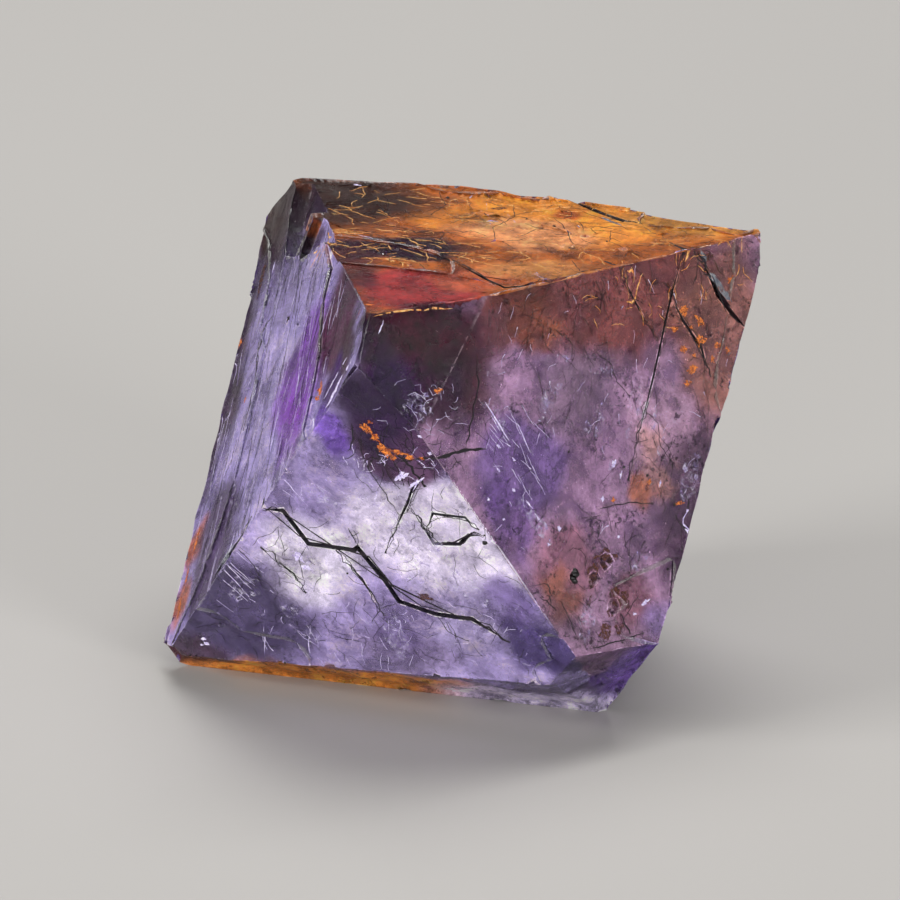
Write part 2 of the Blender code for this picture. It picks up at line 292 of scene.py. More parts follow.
ZONES = [
    # the right face: mauve, amber-brown at its upper right, slate below, violet towards the front face
    Zone((12, -12, 18), (60, 60, 60), "#d4a4cc", 1.0, 0.42, (Face.RIGHT,)),
    Zone((12, -5, 32.5), (15, 11, 7), "#a04a2e", 0.90, 0.40, (Face.RIGHT,)),
    Zone((5.5, -12.5, 31.6), (3.4, 3.6, 2.8), "#c86a2c", 0.80, 0.50, (Face.RIGHT,)),
    Zone((2.8, -14.0, 31.4), (3.4, 3.4, 3.2), "#8a4430", 0.88, 0.50, (Face.RIGHT,)),
    Zone((3.8, -11.8, 33.5), (4.6, 4.0, 1.9), "#84402c", 0.94, 0.45, (Face.RIGHT,)),
    Zone((19, -1, 27), (6, 7, 11), "#c07c66", 0.88, 0.46, (Face.RIGHT,)),
    Zone((9, -11.5, 26), (6, 5, 4.6), "#9c7c98", 0.85, 0.48, (Face.RIGHT,)),
    Zone((15.0, -7.8, 22), (3.8, 4.2, 7), "#f0bcdc", 0.85, 0.60, (Face.RIGHT,)),
    Zone((17.5, -6.5, 15), (6, 6, 8), "#6c4c66", 0.90, 0.42, (Face.RIGHT,)),
    Zone((14.3, -8.9, 20.5), (2.0, 2.0, 4.8), "#dc9c84", 0.60, 0.55, (Face.RIGHT,)),
    Zone((13.4, -10.3, 18.4), (1.8, 1.8, 1.8), "#e08040", 0.80, 0.60, (Face.RIGHT,)),
    Zone((4.5, -16.5, 22), (5, 5, 5), "#8c6cc0", 0.75, 0.42, (Face.RIGHT,)),
    Zone((3.5, -17.9, 17), (3.0, 3.0, 4.5), "#8e66b8", 0.75, 0.48, (Face.RIGHT,)),
    Zone((8, -16.5, 14.5), (4, 4, 4), "#b4748a", 0.85, 0.50, (Face.RIGHT,)),
    Zone((7.0, -17.2, 12.2), (2.2, 2.4, 3.0), "#c07048", 0.70, 0.50, (Face.RIGHT,)),
    Zone((13, -13, 10.5), (3.2, 3.2, 2.8), "#96525c", 0.70, 0.45, (Face.RIGHT,)),
    Zone((14.5, -11.5, 8.5), (3.0, 3.0, 2.6), "#9c88d4", 0.60, 0.55, (Face.RIGHT,)),
    # the front face: lavender with white painted highlights, slate towards its lower left, dusky violet at its lower
    # right
    Zone((-3, -18, 15), (60, 60, 60), "#cdb8f8", 1.0, 0.52, (Face.FRONT,)),
    # painted highlight: a near-white, milky patch where the front face is lit
    Zone((-1, -18.5, 17), (10, 8, 7.4), "#f0e2ff", 0.95, 0.80, (Face.FRONT,)),
    Zone((-16.5, -10.5, 6.4), (8, 8, 6), "#4c4068", 0.88, 0.45, (Face.FRONT,)),
    # painted highlight: a near-white, milky patch where the front face is lit
    Zone((-11, -14.5, 12.6), (6.2, 5.0, 5.4), "#f2e6ff", 0.90, 0.82, (Face.FRONT,)),
    Zone((-3.5, -14.5, 5.5), (6.0, 4.0, 2.8), "#b8a2d4", 0.75, 0.58, (Face.FRONT,)),
    Zone((-4.5, -20.4, 23.8), (5.6, 4.5, 3.4), "#5a2a50", 0.93, 0.55, (Face.FRONT,)),
    Zone((4.0, -18.5, 11.8), (3.6, 4.0, 3.2), "#8e74bc", 0.80, 0.50, (Face.FRONT,)),
    Zone((-4.5, -15.5, 6.5), (2.8, 3.4, 2.0), "#584084", 0.60, 0.45, (Face.FRONT,)),
    Zone((7, -19, 8), (4.6, 4.6, 3.4), "#46307a", 0.85, 0.40, (Face.FRONT,)),
    Zone((1.5, -17, 9), (3.4, 4, 4), "#dccaff", 0.7, 0.66, (Face.FRONT,)),
    Zone((-12, -9, 1.6), (12, 8, 1.3), "#c4743c", 0.60, 0.50, (Face.FRONT,)),
    # the left face: silver lavender, a purple band beside the nose, dusk and rust along its outer edge
    Zone((-15, -3, 22), (60, 60, 60), "#cbb8ff", 1.0, 0.64, (Face.LEFT,)),
    Zone((-19.2, 8.5, 19), (4.6, 10.0, 20), "#4c3040", 0.92, 0.42, (Face.LEFT, Face.UNDER_LEFT)),
    Zone((-20.2, -0.5, 8.5), (1.8, 2.6, 3.0), "#f07818", 0.85, 0.65, (Face.LEFT, Face.UNDER_LEFT)),
    Zone((-21.0, -3.5, 4.4), (1.6, 2.2, 2.4), "#f07a18", 0.85, 0.65),
    Zone((-12.4, -10.5, 26.5), (3.0, 7.0, 8.0), "#9434cc", 0.85, 0.55, (Face.LEFT,)),
    Zone((-12.8, -13.0, 22.5), (2.4, 4.0, 5.0), "#ac48ee", 0.65, 0.60, (Face.LEFT,)),
    Zone((-14.0, -8, 30.5), (3.0, 5.0, 4), "#8c6cc8", 0.6, 0.52, (Face.LEFT,)),
    Zone((-18.6, -6, 11.0), (4.0, 7.0, 7.5), "#644c74", 0.92, 0.48, (Face.LEFT,)),
    Zone((-13.5, 3, 28.5), (3.5, 6.5, 5.5), "#9080ac", 0.60, 0.52, (Face.LEFT,)),
    Zone((-15.8, 10.5, 30.0), (4.5, 6.5, 4.5), "#401e20", 0.95, 0.45, (Face.LEFT,)),
    Zone((-9.2, -13.5, 31.0), (2.8, 9.0, 7.5), "#54183a", 0.97, 0.66, (Face.LEFT,)),
    Zone((-8.4, -18.0, 31.5), (2.2, 4.0, 4.0), "#3c0c2c", 0.95, 0.66, (Face.LEFT,)),
    Zone((-9.2, -18.0, 27.5), (1.8, 3.0, 3.6), "#441068", 0.92, 0.66, (Face.LEFT,)),
    Zone((-14.5, 13, 31), (5, 6, 5), "#42140a", 0.95, 0.35),
    Zone((-13.0, 6, 33.0), (3.2, 8.5, 2.6), "#4c3440", 0.92, 0.45, (Face.LEFT,)),
    Zone((-12.5, 5, 33.2), (3.2, 9, 3), "#38202a", 0.90, 0.45, (None,)),
    # the top: amber at its back edge, made brighter there as a painted glow of light from behind, brown at its left, a
    # slate band, then brick red towards the nose
    Zone((4, 0, 34), (60, 60, 10), "#dc7428", 1.0, 0.60, (Face.TOP,)),
    # painted glow: the brightest amber along the top's back edge
    Zone((8, 6, 34), (12, 8, 6), "#ff9a30", 0.95, 0.84, (Face.TOP,)),
    Zone((17, 6, 34), (7, 4, 6), "#f0a040", 0.90, 0.80, (Face.TOP,)),
    Zone((6.5, 6.5, 34), (2.0, 1.6, 4), "#b0360c", 0.75, 0.60, (Face.TOP,)),
    Zone((-1.5, 4.5, 34), (4.5, 3.5, 4), "#f08c28", 0.80, 0.70, (Face.TOP,)),
    Zone((4.5, 1.5, 34), (7.0, 4.5, 6), "#ffa468", 0.90, 0.85, (Face.TOP,)),
    Zone((-10.0, 7.5, 34), (9, 8.0, 6), "#381204", 0.97, 0.50, (Face.TOP,)),
    Zone((-6.5, -3.2, 34), (7.5, 3.2, 5), "#2c1434", 0.95, 0.40, (Face.TOP,)),
    Zone((-4, -13, 34), (7, 6.0, 5), "#b82c38", 0.90, 0.60, (Face.TOP,)),
    Zone((0, -9.5, 34), (4.5, 3, 5), "#e06c44", 0.75, 0.62, (Face.TOP,)),
    Zone((-3.0, -17.5, 34), (3.6, 3.2, 5), "#7c1230", 0.88, 0.45, (Face.TOP,)),
    Zone((-8.6, -8.5, 34), (2.4, 7.0, 5), "#5c1c30", 0.80, 0.45, (Face.TOP,)),
    Zone((5, -7, 34), (5, 3.0, 5), "#f29c54", 0.85, 0.66, (Face.TOP,)),
    # the nose, near-black purple, with a violet glow under it
    Zone((-2.0, -19.0, 31.2), (8.6, 7.6, 7.4), "#3c0830", 0.97, 0.58, (Face.RIGHT, Face.FRONT, None)),
    Zone((-1.0, -18.5, 32.4), (6.5, 5.6, 4.0), "#44081c", 0.92, 0.58, (Face.RIGHT, Face.FRONT, None)),
    Zone((-6.2, -20.6, 27.2), (4.4, 5.6, 4.6), "#2e0840", 0.97, 0.62, (Face.RIGHT, Face.FRONT, None)),
    Zone((1.2, -17.0, 29.0), (2.2, 2.6, 4.2), "#5c2c30", 0.60, 0.55, (Face.RIGHT, None)),
    Zone((-9.8, -18.8, 24.2), (2.0, 2.4, 1.8), "#8440e0", 0.75, 0.62, (Face.FRONT, Face.LEFT)),
    Zone((-10.5, -12, 32), (3.4, 9.5, 6), "#30081c", 0.95, 0.45, (None,)),
    # the lower rim and the broken corners
    Zone((-9, -7, 0.4), (18, 12, 3.2), "#ff9838", 0.97, 0.85, (None,)),
    Zone((6.5, -9, 0.4), (9.5, 9, 3.2), "#e4d4fc", 0.95, 0.80, (None,)),
    Zone((-20, -7, 2), (4, 4, 3), "#402024", 0.85, 0.45, (None, Face.FRONT)),
    Zone((15, -12, 4.5), (6, 7, 5.5), "#7c5cae", 0.90, 0.60, (None,)),
    # the faces that look away, deep purple with lavender clouds, and amber under the top's back edge
    Zone((0, 8, 17), (60, 60, 60), "#8460b4", 1.0, 0.36, (Face.BACK, Face.UNDER_LEFT, Face.UNDER_RIGHT)),
    Zone((4, 17, 22), (8, 7, 7), "#b49ce0", 0.80, 0.52, (Face.BACK,)),
    Zone((2, 17, 31.5), (20, 9, 4.5), "#b46434", 0.85, 0.50, (Face.BACK,)),
    Zone((-12, 12, 10), (7, 8, 6), "#a88cd8", 0.80, 0.52, (Face.UNDER_LEFT,)),
    Zone((17, 4, 14), (6, 8, 7), "#b498dc", 0.80, 0.52, (Face.UNDER_RIGHT,)),
    Zone((12, 10, 5), (8, 8, 4.5), "#54348c", 0.80, 0.45, (Face.BACK, Face.UNDER_RIGHT)),
    # the walls of the low steps on the top
    Zone((2, 3, 33.6), (30, 13, 0.9), "#a4501c", 0.8, 0.7, (None,)),
]
BODY_COLOUR = "#9a7cba"             # the stone's own purple, where no zone lies
BODY_HAZE = 0.22
# painted shade: the near-black laid on the walls of the cracks, and how far broken surfaces are darkened
PAINTED_CRACK_SHADE = "#0c0610"            # the dark in the cracks
BROKEN_SHADE = 0.55                 # how much of its colour a broken surface keeps


# Cracks that reach the surface: a face, the crack's width there, how deep it shows, and its route on the face.
CRACKS = [
    (Face.FRONT, 0.40, 1.20, [(-9.4, 5.4), (-7.5, 5.6), (-5.7, 2.8), (-2.1, 2.9), (-1.8, 3.2), (0.1, 0.5),
                              (1.1, -1.3), (3.9, -1.9), (6.8, -1.8), (9.6, -3.5)]),
    (Face.FRONT, 0.30, 0.90, [(2.7, 7.8), (4.3, 4.8), (6.3, 5.1), (7.1, 6.1), (8.4, 6.3)]),
    (Face.FRONT, 0.22, 0.60, [(3.8, 6.0), (4.4, 7.6), (6.9, 7.7), (7.9, 6.7)]),
    (Face.FRONT, 0.20, 0.50, [(-3.6, 2.6), (-1.7, 0.3), (-0.2, -2.9)]),
    (Face.FRONT, 0.16, 0.40, [(-9.6, 1.7), (-7.1, -0.3), (-6.3, -2.0)]),
    (Face.FRONT, 0.18, 0.50, [(4.0, 11.2), (2.9, 9.5), (2.5, 8.2), (0.3, 3.1)]),
    (Face.LEFT, 0.26, 0.70, [(-6.2, 3.8), (-7.5, 1.2), (-4.4, -1.0), (-2.8, -4.4)]),
    (Face.LEFT, 0.50, 0.70, [(8.7, -7.2), (7.9, -9.9), (6.3, -12.2), (5.4, -14.5)]),
    (Face.RIGHT, 0.20, 0.35, [(12.3, 13.2), (9.9, 9.6), (6.6, 3.6), (2.5, -3.4)]),
    (Face.RIGHT, 0.50, 1.00, [(12.9, 12.0), (14.2, 8.5), (15.2, 7.0), (17.4, 4.4)]),
    (Face.RIGHT, 0.24, 0.50, [(9.3, 10.2), (10.4, 7.2), (11.7, 4.9), (12.1, 2.6)]),
    (Face.RIGHT, 0.18, 0.40, [(4.9, 13.0), (6.0, 9.5), (7.8, 5.9)]),
    (Face.TOP, 0.28, 0.70, [(-0.3, -5.0), (2.7, -7.1), (6.1, -9.5), (7.4, -8.3), (9.0, -5.5)]),
    (Face.TOP, 0.50, 0.60, [(2.4, 13.4), (5.9, 11.0), (9.0, 9.4), (10.8, 9.7)]),
    (Face.BACK, 0.30, 0.80, [(1.8, 9.4), (4.0, 5.2), (3.2, 1.4), (6.2, -3.8)]),
    (Face.UNDER_LEFT, 0.30, 0.80, [(-10.0, -2.0), (-5.8, -3.4), (-3.2, -8.6), (1.6, -10.2)]),
    (Face.UNDER_RIGHT, 0.26, 0.70, [(0.6, 9.0), (2.2, 3.4), (0.8, -1.8), (4.6, -7.0)]),
]


@dataclass
class Skin:
    """The stone's outside: a fine copy of its solid with split, worn and coloured faces.

    Attributes:
        node: The stone's solid in the frame.
        planes: The plane of each face.
        spacing: How fine the copy is, in metres.
        rounds: How many times long edges are halved.
        wear: Least and most that an edge is worn back, in millimetres.
        seed: Seeds the places of fibres, steps and wear.
    """

    node: bpy.types.Object
    planes: dict[Face, FacePlane]
    spacing: float = 0.65 * MM
    rounds: int = 6
    wear: tuple[float, float] = (0.02, 0.22)
    seed: int = 11

    def build(self) -> bpy.types.Object:
        """Build and dress the skin.

        Returns:
            The piece that stands for the solid.
        """
        solid = self.refined()
        piece = finish_piece("crystal_skin", solid, FluoriteFinish().build())
        faces, nearest = self.face_of_each(piece.data)
        in_crack = self.crack_walls(piece.data, faces)
        self.carve(piece.data, faces, in_crack)
        self.map_grain(piece.data, faces)
        self.paint(piece.data, faces, nearest, in_crack)
        piece.data.shade_smooth()
        piece.data.set_sharp_from_angle(angle=math.radians(22))
        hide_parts(STONE)
        return piece

    def refined(self) -> bmesh.types.BMesh:
        """Return a merged copy of the solid with its long edges halved until they are short."""
        solid = bmesh.new()
        solid.from_mesh(self.node.data)
        bmesh.ops.remove_doubles(solid, verts=solid.verts, dist=2e-6)
        for _ in range(self.rounds):
            flat = [edge for edge in solid.edges if edge.calc_face_angle(1.0) < 0.01]
            bmesh.ops.beautify_fill(solid, faces=solid.faces, edges=flat, method="ANGLE")
            long = [edge for edge in solid.edges if edge.calc_length() > self.spacing]
            bmesh.ops.subdivide_edges(solid, edges=long, cuts=1, use_grid_fill=True)
            wide = [face for face in solid.faces if len(face.verts) > 3]
            bmesh.ops.triangulate(solid, faces=wide, quad_method="SHORT_EDGE", ngon_method="BEAUTY")
        return solid

    def face_of_each(self, mesh: bpy.types.Mesh) -> tuple[list[Face | None], list[Face]]:
        """Tell which face each polygon lies on.

        Args:
            mesh: The refined mesh, still flat.

        Returns:
            A face for each polygon, or None on broken surfaces, walls and cracks; and the face it lies nearest to.
        """
        normals = np.empty(len(mesh.polygons) * 3, np.float32)
        mesh.polygons.foreach_get("normal", normals)
        names = list(self.planes)
        likeness = normals.reshape(-1, 3) @ np.array([self.planes[name].out for name in names]).T
        best = likeness.argmax(1)
        flat = likeness.max(1) > math.cos(math.radians(3))
        centres = np.array([polygon.center for polygon in mesh.polygons])
        below = np.stack([self.local(centres, name)[:, 2] for name in names], axis=1)
        nearest = np.where(flat, best, np.abs(below).argmin(1))
        return [names[i] if flat[n] else None for n, i in enumerate(best)], [names[i] for i in nearest]

    def local(self, places: np.ndarray, face: Face) -> np.ndarray:
        """Return places as millimetres to the right of, up along and out of a face."""
        turned = np.array(self.planes[face].matrix.inverted())
        return (places @ turned[:3, :3].T + turned[:3, 3]) / MM

    def crack_walls(self, mesh: bpy.types.Mesh, faces: list[Face | None]) -> list[Face | None]:
        """Tell which polygons are the walls of a crack.

        Args:
            mesh: The refined mesh, still flat.
            faces: The face of each polygon.

        Returns:
            The face that each such polygon's crack opens in, and None for all others.
        """
        centres = np.array([polygon.center for polygon in mesh.polygons])
        broken = np.array([face is None for face in faces])
        walls: list[Face | None] = [None] * len(faces)
        for face, opening, depth, route in CRACKS:
            local = self.local(centres, face)
            for start, end in zip(route, route[1:]):
                run = np.subtract(end, start)
                share = np.clip((local[:, :2] - start) @ run / (run @ run), 0.0, 1.0)
                away = np.linalg.norm(local[:, :2] - start - share[:, None] * run, axis=1)
                inside = broken & (away < opening * 0.5 + 0.08) & (np.abs(local[:, 2] + depth / 2) < depth / 2 + 0.3)
                for index in np.flatnonzero(inside):
                    walls[index] = face
        return walls

    def carve(self, mesh: bpy.types.Mesh, faces: list[Face | None], in_crack: list[Face | None]) -> None:
        """Press the fibres, steps and wear into the mesh; a crack sinks as a whole with the face it opens in.

        Args:
            mesh: The refined mesh, still flat.
            faces: The face of each polygon.
            in_crack: The face that a crack's walls belong to, for each polygon.
        """
        meets: list[set[Face | None]] = [set() for _ in mesh.vertices]
        cracked: dict[int, Face] = {}
        for polygon, face, wall in zip(mesh.polygons, faces, in_crack):
            for index in polygon.vertices:
                meets[index].add(face)
                if wall is not None:
                    cracked[index] = wall
        normals = [vertex.normal.copy() for vertex in mesh.vertices]
        for vertex, touched, normal in zip(mesh.vertices, meets, normals):
            place = vertex.co / MM
            if place.z < 0.05:
                continue
            if vertex.index in cracked:
                face = cracked[vertex.index]
                vertex.co -= self.planes[face].out * min(self.relief(place, face), place.z) * MM
                continue
            if len(touched) == 1:
                sink = self.relief(place, *touched)
            else:
                worn = noise.noise(place * 0.45 + Vector((self.seed, 0, 0))) + 0.5
                sink = self.wear[0] + (self.wear[1] - self.wear[0]) * min(max(worn, 0.0), 1.0)
            vertex.co -= normal * min(sink, place.z) * MM
        places = np.array([vertex.co for vertex in mesh.vertices])
        for face, plane in self.planes.items():
            if face is not Face.BASE:
                above = np.clip(self.local(places, face)[:, 2] + 0.02, 0.0, None)
                places -= above[:, None] * MM * np.array(plane.out)
        mesh.vertices.foreach_set("co", places.ravel())

    def relief(self, place: Vector, face: Face | None) -> float:
        """Return how far the surface lies below the face's plane.

        Args:
            place: A point on the stone, in millimetres.
            face: The face it lies on, or None on a broken surface.

        Returns:
            The depth in millimetres.
        """
        grain = GRAINS[face]
        across, along = self.grain_place(place, face, grain)
        shift = Vector((0.0, 0.0, self.seed + grain.direction))
        fibre = noise.noise(Vector((across / grain.across, along / grain.along, 0.0)) + shift)
        fine = noise.noise(Vector((across * 2.1 / grain.across, along * 1.6 / grain.along, 5.0)) + shift)
        level = noise.noise(Vector((across, along * 0.6, 9.0)) / grain.step_width + shift) * 3.5
        part = level - math.floor(level)
        stepped = math.floor(level) + min(1.0, max(0.0, (part - 0.42) / 0.16))
        return grain.height * (0.7 + 0.5 * fibre + 0.3 * fine) + grain.step * (stepped + 4.0) / 2.0

    def grain_place(self, place: Vector, face: Face | None, grain: Grain) -> tuple[float, float]:
        """Return where a point lies across and along a face's fibres, in millimetres."""
        if face is None:
            x, y = place.x + 0.7 * place.z, place.y - 0.6 * place.z
        else:
            x, y, _ = self.planes[face].matrix.inverted() @ (place * MM) / MM
        turn = math.radians(grain.direction)
        return y * math.cos(turn) - x * math.sin(turn), x * math.cos(turn) + y * math.sin(turn)

    def map_grain(self, mesh: bpy.types.Mesh, faces: list[Face | None]) -> None:
        """Give the mesh a map that counts its fibres across and their lengths along, and each mark's strength, with
        the edges between faces flagged in the alpha for the painted edge highlights.
        """
        layer = mesh.uv_layers.new(name="grain")
        habit = mesh.color_attributes.new("habit", "FLOAT_COLOR", "CORNER")
        places = np.empty(len(mesh.vertices) * 3, np.float32)
        mesh.vertices.foreach_get("co", places)
        places = places.reshape(-1, 3) / MM
        corners = np.empty(len(mesh.loops), np.int32)
        mesh.loops.foreach_get("vertex_index", corners)
        marks = np.array([list(GRAINS).index(face) for face in faces]).repeat(3)
        found = np.zeros((len(corners), 2), np.float32)
        strengths = np.ones((len(corners), 4), np.float32)
        lowest, highest = np.full(len(places), len(GRAINS)), np.full(len(places), -1)
        np.minimum.at(lowest, corners, marks)
        np.maximum.at(highest, corners, marks)
        # the alpha flags the edges between faces, where painted highlights are laid
        strengths[:, 3] = (lowest != highest)[corners]
        for mark, (face, grain) in enumerate(GRAINS.items()):
            mine = marks == mark
            at = places[corners[mine]]
            if face is None:
                x, y = at[:, 0] + 0.7 * at[:, 2], at[:, 1] - 0.6 * at[:, 2]
            else:
                x, y, _ = self.local(at * MM, face).T
            turn = math.radians(grain.direction)
            found[mine, 0] = (y * math.cos(turn) - x * math.sin(turn)) / grain.thread
            found[mine, 1] = (x * math.cos(turn) + y * math.sin(turn)) / grain.thread
            strengths[mine, :3] = grain.streaks, grain.clouds, grain.flecks
        layer.data.foreach_set("uv", found.ravel())
        habit.data.foreach_set("color", strengths.ravel())

    def paint(
        self, mesh: bpy.types.Mesh, faces: list[Face | None], nearest: list[Face], in_crack: list[Face | None],
    ) -> None:
        """Lay the colour zones on the mesh as a colour, with the milkiness as its alpha, and darken broken surfaces
        and crack walls as painted shade.

        Args:
            mesh: The carved mesh.
            faces: The face of each polygon, or None on broken surfaces.
            nearest: The face that each polygon lies nearest to.
            in_crack: The face that a crack's walls belong to, for each polygon.
        """
        layer = mesh.color_attributes.new("tint", "FLOAT_COLOR", "CORNER")
        places = np.array([vertex.co / MM for vertex in mesh.vertices])
        warp = np.array([noise.noise_vector(Vector(place) * 0.22) for place in places])
        warp += 0.5 * np.array([noise.noise_vector(Vector(place) * 0.7) for place in places])
        places = places + warp * 1.5
        corners = np.empty(len(mesh.loops), np.int32)
        mesh.loops.foreach_get("vertex_index", corners)
        marks = np.array([list(Face).index(face) for face in nearest]).repeat(3)
        broken = np.array([face is None for face in faces]).repeat(3)
        colours = np.empty((len(corners), 4))
        colours[:] = linear(BODY_COLOUR)
        colours[:, 3] = BODY_HAZE
        shaded = False
        for zone in sorted(ZONES, key=lambda zone: None in zone.faces):
            # painted shade: broken surfaces are darkened before the zones that name them
            if None in zone.faces and not shaded:
                colours[broken, :3] *= BROKEN_SHADE
                shaded = True
            away = np.linalg.norm((places - zone.centre) / zone.radii, axis=1)[corners]
            fade = np.clip((1.0 - away) / 0.45, 0.0, 1.0)
            cover = fade * fade * (3 - 2 * fade) * zone.strength
            if zone.faces:
                named = [list(Face).index(face) for face in zone.faces if face is not None]
                cover = cover * (np.isin(marks, named) | (broken & (None in zone.faces)))
            target = np.array(linear(zone.colour))
            colours[:, :3] += (target[:3] - colours[:, :3]) * cover[:, None]
            if zone.haze is not None:
                colours[:, 3] += (zone.haze - colours[:, 3]) * cover
        # painted shade: the walls of the cracks are darkened almost to black
        walls = np.array([wall is not None for wall in in_crack]).repeat(3)
        colours[walls] += (np.array(linear(PAINTED_CRACK_SHADE)) - colours[walls]) * 0.93
        colours[walls, 3] = 0.7
        layer.data.foreach_set("color", colours.ravel().astype(np.float32))


@dataclass(frozen=True)
class FluoriteFinish:
    """Fluorite as it splits: clear and glassy, with silky fibres, clouds and milky veils just under the surface.

    Attributes:
        smooth: Roughness of the cleanest cleavage.
        frosted: Roughness where the surface is bruised.
        bump: Depth of the finest relief, in metres.
        cloud: How wide the clouds are, in metres.
        fleck: How wide the flecks are, in metres.
        depth_colour: The colour that light takes on in the stone.
        density: How fast it takes that colour on, per metre.
    """

    smooth: float = 0.08
    frosted: float = 0.45
    bump: float = 0.06 * MM
    cloud: float = 2.4 * MM
    fleck: float = 0.42 * MM
    depth_colour: str = "#c890e4"
    density: float = 52.0

    def build(self) -> bpy.types.Material:
        """Return the material."""
        material, shader = new_material("cleaved_fluorite")
        tree = material.node_tree
        place = add_node(tree, "ShaderNodeTexCoord").outputs["Object"]
        tint = add_node(tree, "ShaderNodeAttribute", {"attribute_name": "tint"})
        habit = add_node(tree, "ShaderNodeAttribute", {"attribute_name": "habit"})
        part = add_node(tree, "ShaderNodeSeparateColor", links={"Color": habit.outputs["Color"]}).outputs
        streaks = self.weighed(tree, self.streaks(tree), part["Red"])
        clouds = self.weighed(tree, self.clouds(tree, place), part["Green"])
        tone = add_node(tree, "ShaderNodeMath", {"operation": "MULTIPLY"}, {0: streaks, 1: clouds}).outputs["Value"]
        dark, painted_glints = self.flecks(tree, place, part["Blue"])
        # bright: where the painted glints and the painted edge highlights lie
        bright = add_node(
            tree, "ShaderNodeMath", {"operation": "MAXIMUM"},
            {0: painted_glints, 1: self.rim(tree, place, habit.outputs["Alpha"])},
        ).outputs["Value"]
        shown = add_node(tree, "ShaderNodeMath", {"operation": "MULTIPLY"}, {0: tone, 1: dark}).outputs["Value"]
        toned = add_node(
            tree, "ShaderNodeVectorMath", {"operation": "SCALE"}, {"Vector": tint.outputs["Color"], "Scale": shown}
        )
        # the lightened tint of the painted glints and edge highlights
        chips = add_node(
            tree, "ShaderNodeVectorMath", {"operation": "MULTIPLY_ADD", 1: (1.8,) * 3, 2: (0.16,) * 3},
            {0: tint.outputs["Color"]},
        )
        colour = add_node(
            tree, "ShaderNodeMix", {"data_type": "RGBA", "clamp_result": True},
            {0: bright, 6: toned.outputs["Vector"], 7: chips.outputs["Vector"]},
        )
        haze = self.haze(tree, place, tint.outputs["Alpha"], bright)
        clear = add_node(tree, "ShaderNodeMath", {"operation": "SUBTRACT", 0: 1.0, "use_clamp": True}, {1: haze})
        rough = add_node(
            tree, "ShaderNodeMapRange", {"To Min": self.smooth, "To Max": self.frosted}, {"Value": haze}
        )
        relief = add_node(tree, "ShaderNodeBump", {"Strength": 0.9, "Distance": self.bump}, {"Height": shown})
        for socket, source in {
            "Base Color": colour.outputs[2],
            "Transmission Weight": clear.outputs["Value"],
            "Roughness": rough.outputs["Result"],
            "Normal": relief.outputs["Normal"],
        }.items():
            tree.links.new(source, shader.inputs[socket])
        shader.inputs["IOR"].default_value = FLUORITE_IOR
        depth = add_node(
            tree, "ShaderNodeVolumeAbsorption", {"Color": linear(self.depth_colour), "Density": self.density}
        )
        tree.links.new(depth.outputs["Volume"], tree.nodes["Material Output"].inputs["Volume"])
        return material

    def weighed(
        self, tree: bpy.types.NodeTree, tone: bpy.types.NodeSocket, weight: bpy.types.NodeSocket,
    ) -> bpy.types.NodeSocket:
        """Return a tone that fades to one as its weight falls to nothing."""
        mixed = add_node(tree, "ShaderNodeMix", {"data_type": "FLOAT", 2: 1.0}, {0: weight, 3: tone})
        return mixed.outputs[0]

    def streaks(self, tree: bpy.types.NodeTree) -> bpy.types.NodeSocket:
        """Add the fibres and the fine dark lines between them.

        Args:
            tree: The material's nodes.

        Returns:
            A tone around one.
        """
        grain = add_node(tree, "ShaderNodeUVMap", {"uv_map": "grain"})
        stretched = add_node(
            tree, "ShaderNodeMapping", {"Scale": (1.0, 0.07, 1.0)}, {"Vector": grain.outputs["UV"]}
        ).outputs["Vector"]
        fibres = add_node(
            tree, "ShaderNodeTexNoise",
            {"noise_dimensions": "2D", "Scale": 0.9, "Detail": 6.0, "Roughness": 0.72, "Distortion": 0.25},
            {"Vector": stretched},
        )
        bent = add_node(
            tree, "ShaderNodeVectorMath", {"operation": "MULTIPLY_ADD", 1: (1.6, 0.6, 0.0)},
            {0: fibres.outputs["Color"], 2: stretched},
        )
        splits = add_node(
            tree, "ShaderNodeTexVoronoi",
            {"voronoi_dimensions": "2D", "feature": "DISTANCE_TO_EDGE", "Scale": 0.30},
            {"Vector": bent.outputs["Vector"]},
        )
        line = add_node(
            tree, "ShaderNodeMapRange", {"From Max": 0.035, "To Min": 0.18},
            {"Value": splits.outputs["Distance"]},
        )
        shade = add_node(
            tree, "ShaderNodeMapRange", {"From Min": 0.36, "From Max": 0.63, "To Min": 0.16, "To Max": 2.1},
            {"Value": fibres.outputs["Fac"]},
        )
        return add_node(
            tree, "ShaderNodeMath", {"operation": "MULTIPLY"},
            {0: shade.outputs["Result"], 1: line.outputs["Result"]},
        ).outputs["Value"]

